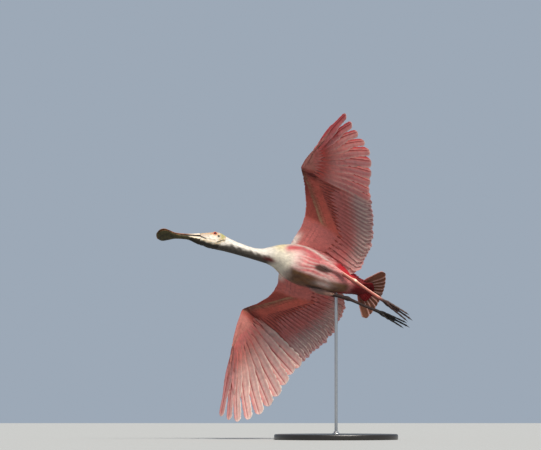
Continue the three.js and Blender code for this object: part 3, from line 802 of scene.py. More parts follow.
def foot_shells(side):
    """Palm and toes, each toe with its pads, and the claws' cones."""
    forward, left, up = LEFT_LEG.axes(TOE_ROOT)
    back = -forward
    start = LEFT_LEG.point(TOE_ROOT)
    knuckles = start + back * 12
    # Each toe's length, spread and dip in degrees, radius and place
    toes = [
        (84, 4, 0, 3.6, knuckles + left * 5),
        (102, 0, 1.5, 3.8, knuckles),
        (90, -4, 0, 3.6, knuckles - left * 5),
        (36, 4, -16, 3.0, start + back * 5 - up * 2),
    ]
    angle = circle(14)[None, :, None]
    t = np.linspace(0, 1, 15)[:, None, None]
    wide = 5.4 + 4.1 * np.minimum(1, t * 1.6)
    palm = left * np.cos(angle) * wide + up * np.sin(angle) * (5 - 1.4 * t)
    skin, claws = [tube(start + back * (22 * t - 4) + palm)], []
    for length, spread, dip, radius, origin in toes:
        lean = left * math.sin(math.radians(spread)) + up * math.sin(math.radians(dip))
        direction = unit(back + lean)
        across = unit(np.cross(direction, up))
        high = np.cross(across, direction)
        share = np.linspace(0, 0.87, 40)[:, None, None]
        swell = (1 - 0.32 * share) * (1 + 0.09 * np.cos(TURN * share * 4.6))
        middle = origin + direction * length * share - up * 5 * share**2
        skin.append(tube(middle + (across * np.cos(angle) + high * np.sin(angle) * 0.9) * radius * swell))
        tip = np.linspace(0, 1, 10)[:, None, None]
        share = 0.84 + 0.16 * tip
        middle = origin + direction * length * share - up * (5 * share**2 + 2.2 * tip**2)
        size = radius * 0.62 * (1 - 0.93 * tip**1.3)
        claws.append(tube(middle + (across * np.cos(angle) * 0.8 + high * np.sin(angle)) * size))
    return [[mirrored_shell(shell, side) for shell in shells] for shells in (skin, claws)]


def body_height(row):
    """How far below the coat's surface the feathers of torso and neck are rooted."""
    rows = [0, 1, 7.5, 9, NAPE - 0.4, NAPE + 0.1]
    return -np.interp(row, rows, [2, TORSO_COAT, TORSO_COAT, NECK_COAT, NECK_COAT, 0.2])


def body_skin(build):
    """Torso, neck, wings and thighs; returns their surface for planting feathers."""
    rows = np.linspace(0, NAPE + 0.4, 120)
    depth = body_height(rows) - 2.5 * ramp(rows, NAPE - 0.35, NAPE)
    shells = [limb_shell(BODY, rows, 64, depth), wing_shell(1), wing_shell(-1)]
    rows = np.linspace(THIGH - 0.6, THIGH_END, 30)
    inside = -np.interp(rows, [THIGH - 0.3, THIGH + 0.4], [0.5, 4.0])
    shells += [mirrored_shell(limb_shell(LEFT_LEG, rows, 30, inside), side) for side, _ in SIDES]
    points, faces = remeshed(shells, BODY_VOXEL, 5)
    build.add(points, faces, blend(body_tint(points), SALMON, ramp(np.abs(points[:, 1]), 50, 66)))
    return BVHTree.FromPolygons(points.tolist(), faces[0].tolist())


def head_skin(build):
    rows = np.linspace(NAPE - 0.45, BILL_ROW + 0.05, 70)
    height = np.interp(rows, [NAPE - 0.45, NAPE + 0.1, BILL_ROW], [-2.2, 0, 0])
    shells = [limb_shell(BODY, rows, 48, height)]
    for side, _ in SIDES:
        shells += [eyelid(side, 4.6, 6.3, 1.0), eyelid(side, 1.4, 8.1, 0.9)]
    points, faces = remeshed(shells, HEAD_VOXEL, 3)
    row, angle = head_place(points)
    build.add(creased(points, row, angle), faces, head_tint(points, row, angle))


def leg_skin(build, claws, side):
    """Shank, tarsus and foot, with the claws in a mesh of their own."""
    shell = limb_shell(LEFT_LEG, np.linspace(TOE_ROOT - 0.05, THIGH, 90), 28, 0.0)
    foot, nails = foot_shells(side)
    points, faces = remeshed([mirrored_shell(shell, side), *foot], LEG_VOXEL, 2)
    near, line = mirrored(points, side), LEFT_LEG.line
    place = np.interp(near[:, 0], line[:, 0], np.arange(len(line)))
    _, left, up = LEFT_LEG.axes(place)
    # How far each point faces the light, which falls from the bird's left and above in its pose
    above = np.einsum("ij,ij->i", near - catmull(line, place), 0.8 * left + 0.6 * up) / 5
    build.add(points, faces, leg_tint(place, side, np.clip(above, -1, 1)), barb=1.0)
    for nail_points, nail_faces in nails:
        claws.add(nail_points, nail_faces, BLACK)


def skin_piece(material):
    """One skin over torso, neck, head, wings, legs and feet; returns its surface for planting feathers."""
    build, claws = Build(), Build()
    tree = body_skin(build)
    head_skin(build)
    for side, _ in SIDES:
        leg_skin(build, claws, side)
    nodes = ["torso", "neck_lower", "neck_upper", "head"]
    nodes += [f"{part}_{word}" for part in ("thigh", "shank", "tarsus", "foot") for _, word in SIDES]
    build.show("skin", material, "bare_skin", nodes)
    claws.show("claws", horn_material("claw_horn", 0.4, 300.0), "foot_skin")
    return tree


def head_place(points):
    """Row and angle on the body for points near the head."""
    rows = np.linspace(NAPE - 0.6, BILL_ROW + 0.1, 200)
    row = np.interp(points[:, 0], catmull(BODY.line, rows)[:, 0], rows)
    _, left, up = BODY.axes(row)
    off = points - catmull(BODY.line, row)
    size = catmull(BODY.size, row)
    high = np.einsum("ij,ij->i", off, up)
    high = high / np.where(high > 0, size[:, 1], size[:, 2])
    return row, np.arctan2(high, np.einsum("ij,ij->i", off, left) / size[:, 0])


def creased(points, row, angle):
    """Folds of bare skin: the mouth's groove, the throat's pouch, the ear, long folds and small wrinkles."""
    rise, side, mouth = np.sin(angle), np.abs(np.cos(angle)), mouth_line(row)
    out = unit(points - BODY.point(row))
    throat = 0.4 * np.sin(17 * angle + 2 * wobble(points, 16)) * ramp(-rise, 0.3, 0.8)
    throat = throat * ramp(row, NAPE + 0.5, NAPE + 1.2)
    wrinkles = (0.3 * wobble(points, 1.7) + 0.35 * wobble(points, 3.9, 4.0)) * ramp(row, NAPE, NAPE + 0.6)
    wide = 0.05 + 0.05 * ramp(row, EYE_ROW + 0.5, BILL_ROW)
    gape = -1.5 * hump(rise, mouth, wide) * ramp(row, MOUTH_END, MOUTH_END + 0.4)
    gape = gape - 0.7 * hump(rise, GAPE_RISE, 0.06) * ramp(row, EYE_ROW + 0.3, EYE_ROW + 0.8)
    jaw = 0.8 * hump(rise, mouth - 0.17, 0.1) * ramp(row, MOUTH_END - 0.2, MOUTH_END + 0.3)
    ear = -2.0 * hump(row, EYE_ROW - 0.38, 0.09) * hump(rise, -0.1, 0.12) * ramp(side, 0.5, 0.9)
    pouch = 6.5 * ramp(row, NAPE + 0.45, MOUTH_END - 0.2) + 2 * ramp(row, MOUTH_END, BILL_ROW)
    pouch = pouch * ramp(throat_side(angle), 0.5, 1.0)
    return points + out * (throat + wrinkles + gape + jaw + ear + pouch)[:, None]


# Coat


def strip(first, second):
    """Triangles between two point rows that run the same way: lists of (index, place along)."""
    faces, i, j = [], 0, 0
    while i + 1 < len(first) or j + 1 < len(second):
        ahead = i + 1 < len(first) and (j + 1 >= len(second) or first[i + 1][1] <= second[j + 1][1])
        third = first[i + 1][0] if ahead else second[j + 1][0]
        faces.append((first[i][0], third, second[j][0]))
        i, j = (i + 1, j) if ahead else (i, j + 1)
    return faces


def tuft_form(edge):
    """A small feather: an outline with split barbs at its tip, domed on top and flat below."""
    ridge = [(0.0, 0.0), (0.4, 0.0), (0.75, 0.0)]
    outline = edge + [(1.0, 0.0)] + [(x, -y) for x, y in edge[::-1]]
    n, tip = len(outline), len(edge)
    plan = np.array(outline + outline + ridge)
    dome = np.zeros(len(plan))
    dome[2 * n :] = 1
    along = [(2 * n + i, r[0]) for i, r in enumerate(ridge)]
    right = [(i, outline[i][0]) for i in range(tip + 1)]
    left = [(n - 1 - i, outline[n - 1 - i][0]) for i in range(tip)] + [(tip, 1.0)]
    top = [tri[::-1] for tri in strip(right, along)] + strip(left, along)
    return plan, dome, np.array(top), np.arange(n, 2 * n)[None, :]


BODY_TUFT = tuft_form([(0.0, 0.15), (0.35, 0.8), (0.6, 1.0), (0.72, 0.66), (0.87, 0.58), (0.85, 0.24)])
FINE_TUFT = tuft_form([(0.0, 0.2), (0.45, 0.95), (0.82, 0.6), (0.8, 0.28)])


def run_along(line):
    """How far along a line each of its points is."""
    return np.concatenate([[0], np.cumsum(np.linalg.norm(np.diff(line, axis=0), axis=1))])


def even_rows(surface, first, last, step):
    """Row values about step millimetres apart along a surface."""
    rows = np.linspace(first, last, 400)
    run = run_along(surface(rows, 0.0, 0.0))
    return np.interp(np.linspace(0, run[-1], max(3, int(run[-1] / step))), run, rows)


def scatter(surface, rows, across_end, gap):
    """Places on a surface(row, across, 0) in staggered, slightly uneven rows about gap millimetres apart."""
    found = []
    across = np.linspace(0, across_end, 120)
    for number, row in enumerate(rows):
        run = run_along(surface(row, across, 0.0))
        count = max(3, int(run[-1] / gap))
        spots = (np.arange(count) + 0.5 * (number % 2) + RNG.uniform(-0.3, 0.3, count)) / count
        rough = np.clip(row + RNG.uniform(-0.4, 0.4, count) * (rows[1] - rows[0]), rows[0], rows[-1])
        found.append(np.stack([rough, np.interp(np.clip(spots, 0, 1) * run[-1], run, across)], -1))
    return np.concatenate(found)


def over_skin(tree, points):
    """Which points lie close to the skin."""
    near = (tree.find_nearest(Vector(p))[3] for p in points.tolist())
    return np.array([distance is not None and distance < ROOT_REACH for distance in near])


def tufts(build, surface, places, lie, form, length, width, low, high, tint, unwrap, side, tree, turn):
    """Plants one small feather at each place, rooted at height low with its tip at height high.

    lie is the sign of the row direction in which the feathers point, and turn how unevenly they do. Every
    point follows the surface. Where tree is given, only feathers over that skin are planted.
    """
    plan, dome, top, bottom = form
    sizes = [np.broadcast_to(value, len(places)).astype(float) for value in (length, width, low, high)]
    values = [*places.T, *sizes]
    if tree is not None:
        keep = over_skin(tree, mirrored(surface(values[0], values[1], values[4]), side))
        values = [value[keep] for value in values]
    row, across, length, width, low, high = values
    n = len(row)
    d_row = (surface(row + 0.01, across, low) - surface(row - 0.01, across, low)) / 0.02
    d_across = (surface(row, across + 0.01, low) - surface(row, across - 0.01, low)) / 0.02
    sideways = unit(np.cross(np.cross(d_row, d_across), unit(d_row) * lie))[:, None, :]
    angle = RNG.normal(0, turn, n)[:, None]
    x = plan[:, 0] * (length * RNG.uniform(0.8, 1.2, n))[:, None]
    y = plan[:, 1] * (width * RNG.uniform(0.8, 1.15, n))[:, None] / 2
    rise = plan[:, 0] ** 0.75
    lift = RNG.normal(0, 0.07, n)[:, None] * rise
    height = low[:, None] + (high - low)[:, None] * (rise + lift) + dome * 0.07 * width[:, None]
    ahead = lie * (x * np.cos(angle) - y * np.sin(angle))
    rows = row[:, None] + ahead / np.linalg.norm(d_row, axis=1)[:, None]
    acrosses = np.broadcast_to(across[:, None], x.shape)
    place = surface(rows, acrosses, height) + sideways * (x * np.sin(angle) + y * np.cos(angle))[..., None]
    place = mirrored(place, side)
    start = (np.arange(n) * len(plan))[:, None, None]
    faces = [(top + start).reshape(-1, 3)[:, ::side], (bottom + start).reshape(n, -1)[:, ::side]]
    # Each feather's tone differs at random, and is darker towards its root: painted shade under the feathers
    # that overlap it
    shade = RNG.normal(1, 0.045, (n, 1, 1)) * (0.9 + 0.14 * plan[:, :1])
    color = tint(place, rows, acrosses) * shade
    patch = np.stack([plan[:, 0], plan[:, 1] / 2 + 0.5], -1) * 0.003
    uv = np.clip(unwrap(row, across), 0.002, 0.995)[:, None, :] + patch
    barb = (x + np.abs(y) * 0.9) / 1.4
    build.add(place.reshape(-1, 3), faces, color.reshape(-1, 3), uv.reshape(-1, 2), barb.reshape(-1))


def torso_coat(material, tree):
    """Feathers of torso and neck, larger on the torso and hair-fine towards the head."""
    # Rows, the steps along and across between feathers, their length and width
    pieces = [
        ("coat_rear", 0.3, 3.9, 4.2, 2.2, 28.0, 3.6),
        ("coat_belly", 3.9, 5.6, 4.2, 2.1, 28.0, 3.4),
        ("coat_breast", 5.6, 9.0, 3.6, 1.9, 22.0, 3.0),
        ("coat_neck", 9.0, NAPE + 0.5, 2.3, 1.5, 14.0, 2.5),
    ]
    for name, first, last, step, gap, length, width in pieces:
        neck = name == "coat_neck"
        places = scatter(BODY.surface, even_rows(BODY.surface, first, last, step), TURN, gap)
        if neck:
            places[:, 0] += RNG.uniform(-0.12, 0.12, len(places)) * ramp(places[:, 0], NAPE - 0.3, NAPE)
            edge = NAPE + 0.08 + 0.5 * ramp(-np.sin(places[:, 1]), 0.6, 0.85)
            places = places[places[:, 0] < edge]
        low = body_height(places[:, 0])
        soft = np.where(places[:, 0] > NAPE - 0.3, 0.55, 1.0)
        form = FINE_TUFT if neck else BODY_TUFT
        tree_here, turn = (None, 0.06) if neck else (tree, 0.13)
        build = Build()
        tufts(
            build, BODY.surface, places, -1, form, length * soft, width, low, 0.3 * soft,
            lambda p, row, angle: body_tint(p), BODY.unwrap, 1, tree_here, turn,
        )
        build.show(name, material, "neck_plumage" if neck else "body_plumage")


def thigh_coat(material, tree):
    build = Build()
    surface = LEFT_LEG.surface
    rows = even_rows(surface, THIGH + 0.25, THIGH_END - 0.1, 3.2)
    for side, _ in SIDES:
        places = scatter(surface, rows, TURN, 2.6)
        low = -np.interp(places[:, 0], [THIGH - 0.3, THIGH + 0.6], [0.5, 2.8])
        tufts(
            build, surface, places, -1, BODY_TUFT, 15.0, 3.4, low, 0.3,
            lambda p, row, angle: blend(body_tint(p), BLUSH, 0.25), LEFT_LEG.unwrap, side, tree, 0.1,
        )
    build.show("coat_thighs", material, "body_plumage")


def wing_coat(material, tree):
    """Lesser coverts above and the lining below, on each wing's fleshy part."""
    rows = np.concatenate([np.linspace(-0.985, -0.8, 8), np.linspace(-0.76, 0.95, 26)])
    for side, word in SIDES:
        for face, kind in ((1, "lesser_coverts"), (-1, "wing_lining")):
            surface = wing_surface(face)
            places = scatter(surface, rows, WING_END - 0.1, 2.7)
            chord = places[:, 0]
            length = np.interp(chord, [-1, -0.8, -0.4, 0.3, 1], [4.5, 8, 13, 16, 24])
            width = np.interp(chord, [-1, -0.8, -0.4, 1], [2.4, 3.2, 3.8, 5.6])
            low = np.where(np.abs(chord) > 0.94, -0.4, -WING_COAT * 0.5)
            high = np.interp(chord, [-1, -0.8, 0], [0.2, 0.5, 0.9])
            build = Build()
            tufts(
                build, surface, places, 1, BODY_TUFT, length, width, low, high,
                lambda p, chord, k, face=face: wing_tint(k, chord, face),
                lambda chord, k: np.stack([k / WING_END, (chord + 1) / 2.05], -1), side, tree, 0.1,
            )
            build.show(f"{kind}_{word}", material, "wing_feathers")


# Large feathers


# The shaft's radius, the share of the rounded tip, the tilt in degrees, the depth of the splits at the edges
PRIMARY = {"shaft": 1.5, "tip": 0.08, "tilt": 5.0, "split": 0.3, "shaft_tint": RED_SHAFT}
SECONDARY = {"shaft": 1.1, "tip": 0.17, "tilt": 3.5, "split": 0.22, "ruffle": 0.1}
COVERT, COVERT_TILT = {"shaft": 0.6, "tip": 0.42, "split": 0.3, "cup": 0.1}, 2.6
RECTRIX = {"shaft": 0.9, "tip": 0.2, "tilt": 2.0, "split": 0.12, "cup": 0.05, "shaft_tint": TAIL_SHAFT}
TAIL_COVERT = {**RECTRIX, "tip": 0.3, "shaft_tint": DARK_RED}
# Rows along a feather, and places across each of its webs
FINE_VANE = (34, [1, 0.85, 0.65, 0.42, 0.2, 0.09])
PLAIN_VANE = (14, [1, 0.6, 0.25])

# The first feather that a tier of coverts lies over, their number, where they end and start, width and height
COVERT_TIERS = [
    (0.6, 34, 0.5, 0.35, 20.0, 3.0),
    (0.9, 42, 0.38, 0.0, 15.5, 3.8),
    (0.6, 46, 0.28, -0.1, 13.0, 4.2),
]
# Kind, number, half spread in degrees, length of the middle and outer feathers, width and height
TAIL_TIERS = [
    ("rectrix", 12, 52, 78, 96, 27, 3.0),
    ("upper", 10, 36, 50, 52, 19, 7.0),
    ("under", 9, 26, 50, 44, 16, -5.0),
    ("under", 8, 26, 36, 34, 15, -8.0),
]


def sheet_faces(m, n):
    """Faces of a closed sheet: m rows of n points above, and as many below after them."""
    i, j = np.meshgrid(np.arange(m - 1), np.arange(n - 1), indexing="ij")
    a = (i * n + j).ravel()
    upper = np.stack([a, a + 1, a + n + 1, a + n], -1)
    faces = [upper, upper[:, ::-1] + m * n]
    rows, columns = np.arange(m - 1) * n, np.arange(n - 1)
    for a, step, order in (
        (rows, n, [0, 1, 2, 3]),
        (rows + n - 1, n, [0, 3, 2, 1]),
        (columns, 1, [0, 3, 2, 1]),
        (columns + (m - 1) * n, 1, [0, 1, 2, 3]),
    ):
        faces.append(np.stack([a, a + step, a + step + m * n, a + m * n], -1)[:, order])
    return np.concatenate(faces)


def vane_plan(rows, webs, lead, trail, shaft, tip, split):
    """Places t along and v across a feather, each point's distance from the shaft, and the shaft's radius."""
    v = np.array([-w for w in webs] + [0, 0, 0] + webs[::-1])
    t = 1 - (1 - np.linspace(0, 1, rows)) ** 1.35
    end = np.sqrt(np.clip(1 - ((t - (1 - tip)) / tip) ** 2 * (t > 1 - tip), 0.0004, 1))
    y = v * (np.where(v > 0, lead(t)[:, None], trail(t)[:, None]) * end[:, None])
    radius = shaft * (1 - 0.86 * t)
    middle = len(webs) + 1
    y[:, middle - 1], y[:, middle + 1] = -radius, radius
    y[:, [0, -1]] *= 1 - RNG.uniform(0, 1, (rows, 2)) ** 5 * split * ramp(t, 0.3, 0.7)[:, None]
    return t, v, y, radius


def vane_map(cell, t, v):
    """Places in the bake map of a feather's upper and lower points; cell is its number, and the count."""
    number, count = cell
    u = (number + 0.06 + 0.88 * (v + 1) / 2) / count
    w = 0.01 + 0.48 * t
    return np.concatenate([np.stack([u, w + shift], -1).reshape(-1, 2) for shift in (0, 0.5)])


def vane(
    build, line, normal, across, length, lead, trail, tint, cell, side=1, span=(0.0, 1.0), fine=True, *,
    shaft, tip, tilt, split, cup=0.08, ruffle=0.3, lift=0.0, shaft_tint=SHAFT,
):
    """One large feather: a shaft and two webs, closed, with a rounded tip.

    line(t) gives the shaft, lead and trail the widths of the webs at t, and tint(t, v, face) the colour, with
    v from -1 at the trailing edge to 1 at the leading one.
    """
    rows, webs = FINE_VANE if fine else PLAIN_VANE
    t, v, y, radius = vane_plan(rows, webs, lead, trail, shaft, tip, split)
    grid_t, grid_v = np.meshgrid(t, v, indexing="ij")
    middle = len(webs) + 1

    # How each point lies above the feather's middle sheet, and how thick the feather is there
    phase = t * RNG.uniform(14, 26) + RNG.uniform(0, 6)
    bend = -cup * np.abs(y) ** 1.6 / 3 + ruffle * np.sin(phase)[:, None] * v**2 * ramp(t, 0.3, 0.8)[:, None]
    above = np.where(np.abs(v) > 0.99, 0.1, 0.22) * np.ones_like(y)
    below = above.copy()
    above[:, middle] += radius * 0.55
    below[:, middle] += radius * 0.9
    raised = lift * ramp(t, 0, 0.25) * (1 - 0.55 * ramp(t, 0.35, 1))

    lean = np.radians(tilt)
    sideways = across * math.cos(lean) + normal * math.sin(lean)
    upward = normal * math.cos(lean) - across * math.sin(lean)
    swept = 0.55 * (1 - ramp(t, 0.82, 1.0)[:, None]) * np.abs(y) / length
    base = line(np.clip(span[0] + (span[1] - span[0]) * grid_t + swept, 0, span[1]))
    flat = base + sideways * y[..., None] + normal * raised[:, None, None]
    sheets = [flat + upward * (bend + above)[..., None], flat + upward * (bend - below)[..., None]]
    points = mirrored(np.concatenate(sheets).reshape(-1, 3), side)

    dark = np.zeros_like(y)
    dark[:, middle - 1 : middle + 2] = [0.4, 0.8, 0.4]
    colors = [blend(tint(grid_t, grid_v, face), shaft_tint, dark).reshape(-1, 3) for face in (1, -1)]
    barb = np.tile(((grid_t * length * (span[1] - span[0]) + np.abs(y) * 1.1) / 1.3).ravel(), 2)
    faces = sheet_faces(*y.shape)[:, ::side]
    build.add(points, [faces], np.concatenate(colors), vane_map(cell, grid_t, grid_v), barb)


def web(width, places, shares):
    """The width of a web along a feather, from its shares of a full width at a few places."""
    return lambda t: width * np.interp(t, places, shares)


def wing_vane(build, k, cell, side, face, rooted, reach, lead, trail, tint, fine=True, **form):
    """A feather along flight feather k, rooted in the flesh; reach is its end as a share of feather k."""
    _, _, length, normal, across = wing_axes(k)
    length = float(length[0])
    start = float(wing_row(k)[2]) * rooted / length
    span = (start, max(reach, start + LEAST_COVERT))
    vane(
        build, lambda t: feather_line(k, t), normal * face, across, length, lead, trail, tint, cell,
        side, span, fine, **form,
    )


def primary_tint(k, side):
    """Pale pink webs on a red shaft, whitish at the hind edge; below, painted light makes the left hand
    redder and the right one paler.
    """

    def tint(t, v, face):
        red = 0.6 * hump(v, -0.08, 0.16) + 0.85 * ramp(v, 0.1, 0.6) + 0.6 * ramp(2 - k, 0, 2)
        # Painted shade: a mauve band where shade shows through the thin webs, stronger on the left hand
        see_through_shade = (0.5 if side > 0 else 0.2) * hump(v, -0.5, 0.22) * ramp(t, 0.3, 0.6) * ramp(k, 1, 6)
        return paint(
            SALMON,
            (blend(BLUSH, CREAM, 0.3), ramp(t, 0.08, 0.4)),
            (ROSE, np.clip(red, 0, 0.9)),
            (MAUVE, see_through_shade),
            (ROSE, 0.45 * hump(v, -0.7, 0.1) * ramp(t, 0.2, 0.4)),
            (CREAM, 0.9 * ramp(-v, 0.7, 1.0) * ramp(t, 0.25, 0.6)),
            (CREAM, 0.5 * ramp(t, 0.93, 1.0)),
            # Painted light on the undersides: rose for the glow through the left hand, cream for the sunlit
            # right hand
            (ROSE if side > 0 else CREAM, 0.28 if face < 0 else 0.0),
            (RED_SHAFT, 0.75 * hump(v, 0.0, 0.08) * (1 - 0.4 * t)),
        )

    return tint


def secondary_tint(k):
    """Salmon at the base, greyish and clearer outside, with white edges and streaks."""
    clear = blend(blend(MAUVE, BLUSH, 0.5), BLUSH, 0.7 * ramp(k, 15, 22))

    def tint(t, v, face):
        brown, dark = (0.16, 0.3) if face < 0 else (0.03, 0.15)
        return paint(
            blend(SALMON, ROSY, 0.6),
            (SHAFT, brown * ramp(0.6 - t, 0, 0.5)),
            (clear, ramp(t, 0.5, 0.78)),
            # Painted shadow of the next feather's edge, a dark line across the web
            (SHAFT, 0.22 * hump(v, -0.66, 0.1) * ramp(t, 0.25, 0.5)),
            (SHAFT, dark * ramp(v, -0.3, 0.2) * ramp(0.9 - t, 0, 0.2)),
            (CREAM, 0.9 * ramp(-v, 0.84 - 0.14 * ramp(t, 0.6, 0.9), 0.97) * ramp(t, 0.4, 0.7)),
            (CREAM, 0.5 * hump(v, -0.43, 0.08) * ramp(t, 0.5, 0.75)),
            (ROSY, 0.6 * ramp(-v, 0.8, 1) * ramp(0.6 - t, 0, 0.2)),
            (PINK, 0.4 * ramp(k, 22, 27)),
            (SHAFT, 0.75 * hump(v, 0.0, 0.07) * (1 - 0.4 * t)),
        )

    return tint


def covert_tint(face, hand):
    """Pink above; below dull salmon, clearer on the hand, with a darker middle."""

    def tint(t, v, _):
        if face > 0:
            return blend(PINK, BLUSH, 0.5 * ramp(t, 0.5, 1))
        return paint(
            SALMON,
            (ROSY, 0.3 * t),
            (SHAFT, 0.2 - 0.1 * t),
            (PINK, 0.35 * hump(v, -0.6, 0.3)),
            (blend(SALMON, ROSY, 0.5 + 0.4 * t), 0.8 * hand),
            (PINK, 0.3 * ramp(-v, 0.6, 1) * (1 - hand)),
            (SHAFT, 0.5 * hump(v, 0, 0.2)),
        )

    return tint


def tail_tint(kind):
    """Orange-buff tail feathers with pale edges, under red coverts."""

    def tint(t, v, _):
        if kind == "upper":
            return blend(CARMINE, ROSE, 0.3 * t)
        if kind == "under":
            return blend(DARK_RED, CARMINE, 0.12 * t)
        v = np.abs(v)
        return paint(
            OCHRE,
            (CHESTNUT, 0.65 * hump(v, 0.4, 0.3)),
            (BLUSH, 0.9 * ramp(v, 0.74, 0.94)),
            (ROSE, 0.5 * ramp(1 - t, 0.55, 0.9)),
        )

    return tint


def remex(build, k, cell, side):
    """One flight feather, from inside the flesh to its tip."""
    outer = float(outer_share(k))
    hand = k <= LAST_PRIMARY
    width = 48 - 10 * outer**2 if hand else 38.0
    front_share = 0.42 - 0.1 * outer if hand else 0.4
    finger = 0.3 * ramp(outer, 0.35, 0.75)
    reach = 1.0 if hand else 1 - RNG.uniform(0, 0.04)

    def lead(t):
        swell = np.interp(t, [0, 0.12, 0.3, 1], [0.35, 0.8, 1, 1])
        return width * front_share * swell * (1 - finger * ramp(t, 0.45, 0.62))

    def trail(t):
        swell = np.interp(t, [0, 0.12, 0.35, 0.8, 1], [0.35, 0.8, 1, 0.96, 0.85])
        return width * (1 - front_share) * swell * (1 - finger * ramp(t, 0.5, 0.68))

    tint, form = (primary_tint(k, side), PRIMARY) if hand else (secondary_tint(k), SECONDARY)
    wing_vane(build, k, cell, side, 1, 0.4, reach, lead, trail, tint, **form)


def remiges_of_wing(side, word, material):
    for name, first, last, bones in (
        ("primaries", 0, LAST_PRIMARY, "hand"),
        ("secondaries", LAST_PRIMARY + 1, LAST_FEATHER, "arm"),
    ):
        build = Build()
        for k in range(first, last + 1):
            remex(build, k, (k - first, last + 1 - first), side)
        build.show(f"{name}_{word}", material, "wing_feathers", [f"wing_{bones}_{word}"])


def covert(build, k, cell, side, face, reach, rooted, width, lift):
    """One greater, median or lesser covert, near flight feather k."""
    hand = float(ramp(LAST_PRIMARY + 0.5 - k, 0, 1))
    width = width * (1 + 0.6 * hand)
    shift, end = RNG.uniform(-0.13, 0.13), RNG.uniform(-0.03, 0.02)

    half = web(width / 2, [0, 0.2, 0.6, 1], [0.3, 0.8, 1, 0.9])
    wing_vane(
        build, k + shift, cell, side, face, rooted, reach + end - 0.1 * hand, half, half,
        covert_tint(face, hand), False, lift=lift, tilt=COVERT_TILT * face, **COVERT,
    )


def coverts_of_wing(side, word, material):
    """Three tiers of coverts on each face, over the roots of the flight feathers."""
    total = sum(tier[1] for tier in COVERT_TIERS)
    for face, kind in ((1, "upper"), (-1, "under")):
        build, number = Build(), 0
        for first, count, *form in COVERT_TIERS:
            for k in np.linspace(first, LAST_FEATHER, count):
                covert(build, k, (number, total), side, face, *form)
                number += 1
        build.show(f"{kind}_coverts_{word}", material, "wing_feathers")


def tail_feather(build, cell, kind, out, spread, length, width, height):
    """One feather of the fan: out runs from -1 on the right to 1 on the left."""
    turn = math.radians(spread * out)
    drop = math.radians(TAIL_DROOP + TAIL_ARCH * abs(out))
    left = np.array([math.sin(turn), math.cos(turn), 0])
    flat = math.cos(drop)
    direction = np.array([-math.cos(turn) * flat, math.sin(turn) * flat, -math.sin(drop)])
    normal = unit(-np.cross(direction, left))
    start = np.array([TAIL_BACK, out * TAIL_OUT, TAIL_DOWN]) + normal * height

    half = web(width / 2, [0, 0.25, 0.7, 1], [0.3, 0.75, 1, 0.95])
    whole = kind == "rectrix"
    vane(
        build, lambda t: start + direction * (length * t)[..., None], normal, left * (1 if out >= 0 else -1),
        length, half, half, tail_tint(kind), cell, fine=whole, **(RECTRIX if whole else TAIL_COVERT),
    )


def tail_feathers(material):
    """Twelve tail feathers in a fan, with red coverts above and below their roots."""
    build, number = Build(), 0
    total = sum(tier[1] for tier in TAIL_TIERS)
    for kind, count, spread, inner, outer, width, lift in TAIL_TIERS:
        for out in (2 * i / (count - 1) - 1 for i in range(count)):
            # The outer feathers lie under the inner ones, and of the middle pair one lies under the other
            below = abs(out) * (count / 2) * 0.9 + (0.45 if 0 < out < 1.5 / count else 0)
            length = inner + (outer - inner) * out * out
            tail_feather(build, (number, total), kind, out, spread, length, width, lift - below)
            number += 1
    build.show("tail_feathers", material, "tail_feathers", ["tail"])


# Bill, eyes and stand


# Half the bill's width, and its depth, along its length
BILL_WIDTH = profile([
    (0, 14),
    (0.2, 11),
    (0.42, 9.6),
    (0.6, 12),
    (0.74, 21),
    (0.86, 26.5),
    (0.95, 21),
    (1, 10),
])
BILL_DEPTH = profile([(0, 12), (0.2, 8), (0.45, 5.6), (0.62, 4.4), (0.86, 3.2), (1, 1.6)])


def bill_plate(sign):
    """Rings of the upper (sign 1) or lower plate, and each point's place along and across the half width."""
    t = 1 - (1 - np.linspace(0, 1, 110)[:, None]) ** 1.5
    turn = np.linspace(0, np.pi, 33)
    up_share, out_share = np.sin(turn), np.cos(turn)
    narrow, shorter, droop = (1, 0, 0) if sign > 0 else (0.93, 4, math.radians(BILL_GAPE))
    root = 0.6 + 0.4 * ramp(t, -0.01, 0.055)
    end = np.sqrt(np.clip(1 - ((t - 0.955) / 0.045) ** 2 * (t > 0.955), 0.02, 1))
    half = BILL_WIDTH(t) * narrow * end * root
    x = -BILL_ROOT + (BILL_LENGTH - shorter + BILL_ROOT) * t
    base = -MOUTH_DROP + sign * 0.4 - math.sin(droop) * x
    rim = np.abs(out_share)
    groove = -0.55 * hump(rim, 0.86, 0.05) * ramp(t, 0.05, 0.2)
    ridges = 0.28 * np.sin(x / 2.4) * (1 - ramp(t, 0.25, 0.6)) * (1 - rim**4)
    nostril = -1.4 * hump(x, 17, 5) * hump(out_share**2, 0.16, 0.05) * (sign > 0)
    pouch = ramp(0.34 - t, 0, 0.3) * ramp(t, -0.03, 0.06) * (sign < 0)
    deep = 0.5 + up_share ** (0.8 - 0.2 * pouch) * (BILL_DEPTH(t) * root + 12 * pouch)
    high = base + sign * (deep + (groove + ridges + nostril) * up_share)
    wide = out_share * half - 5 * pouch * up_share
    y = np.concatenate([wide, np.linspace(-0.95, 0.95, 9) * half], 1)
    z = np.concatenate([high, np.repeat(base + sign * 0.15, 9, 1)], 1)

    up = BODY.axes(BILL_ROW)[2]
    forward = unit(np.array(BILL_DIRECTION))
    left = unit(np.cross(up, forward))
    up = np.cross(forward, left)
    rings = BODY.point(BILL_ROW) + x[..., None] * forward + y[..., None] * left + z[..., None] * up
    return rings[:, ::sign], np.broadcast_to(t, y.shape).ravel(), (y / half)[:, ::sign].ravel()


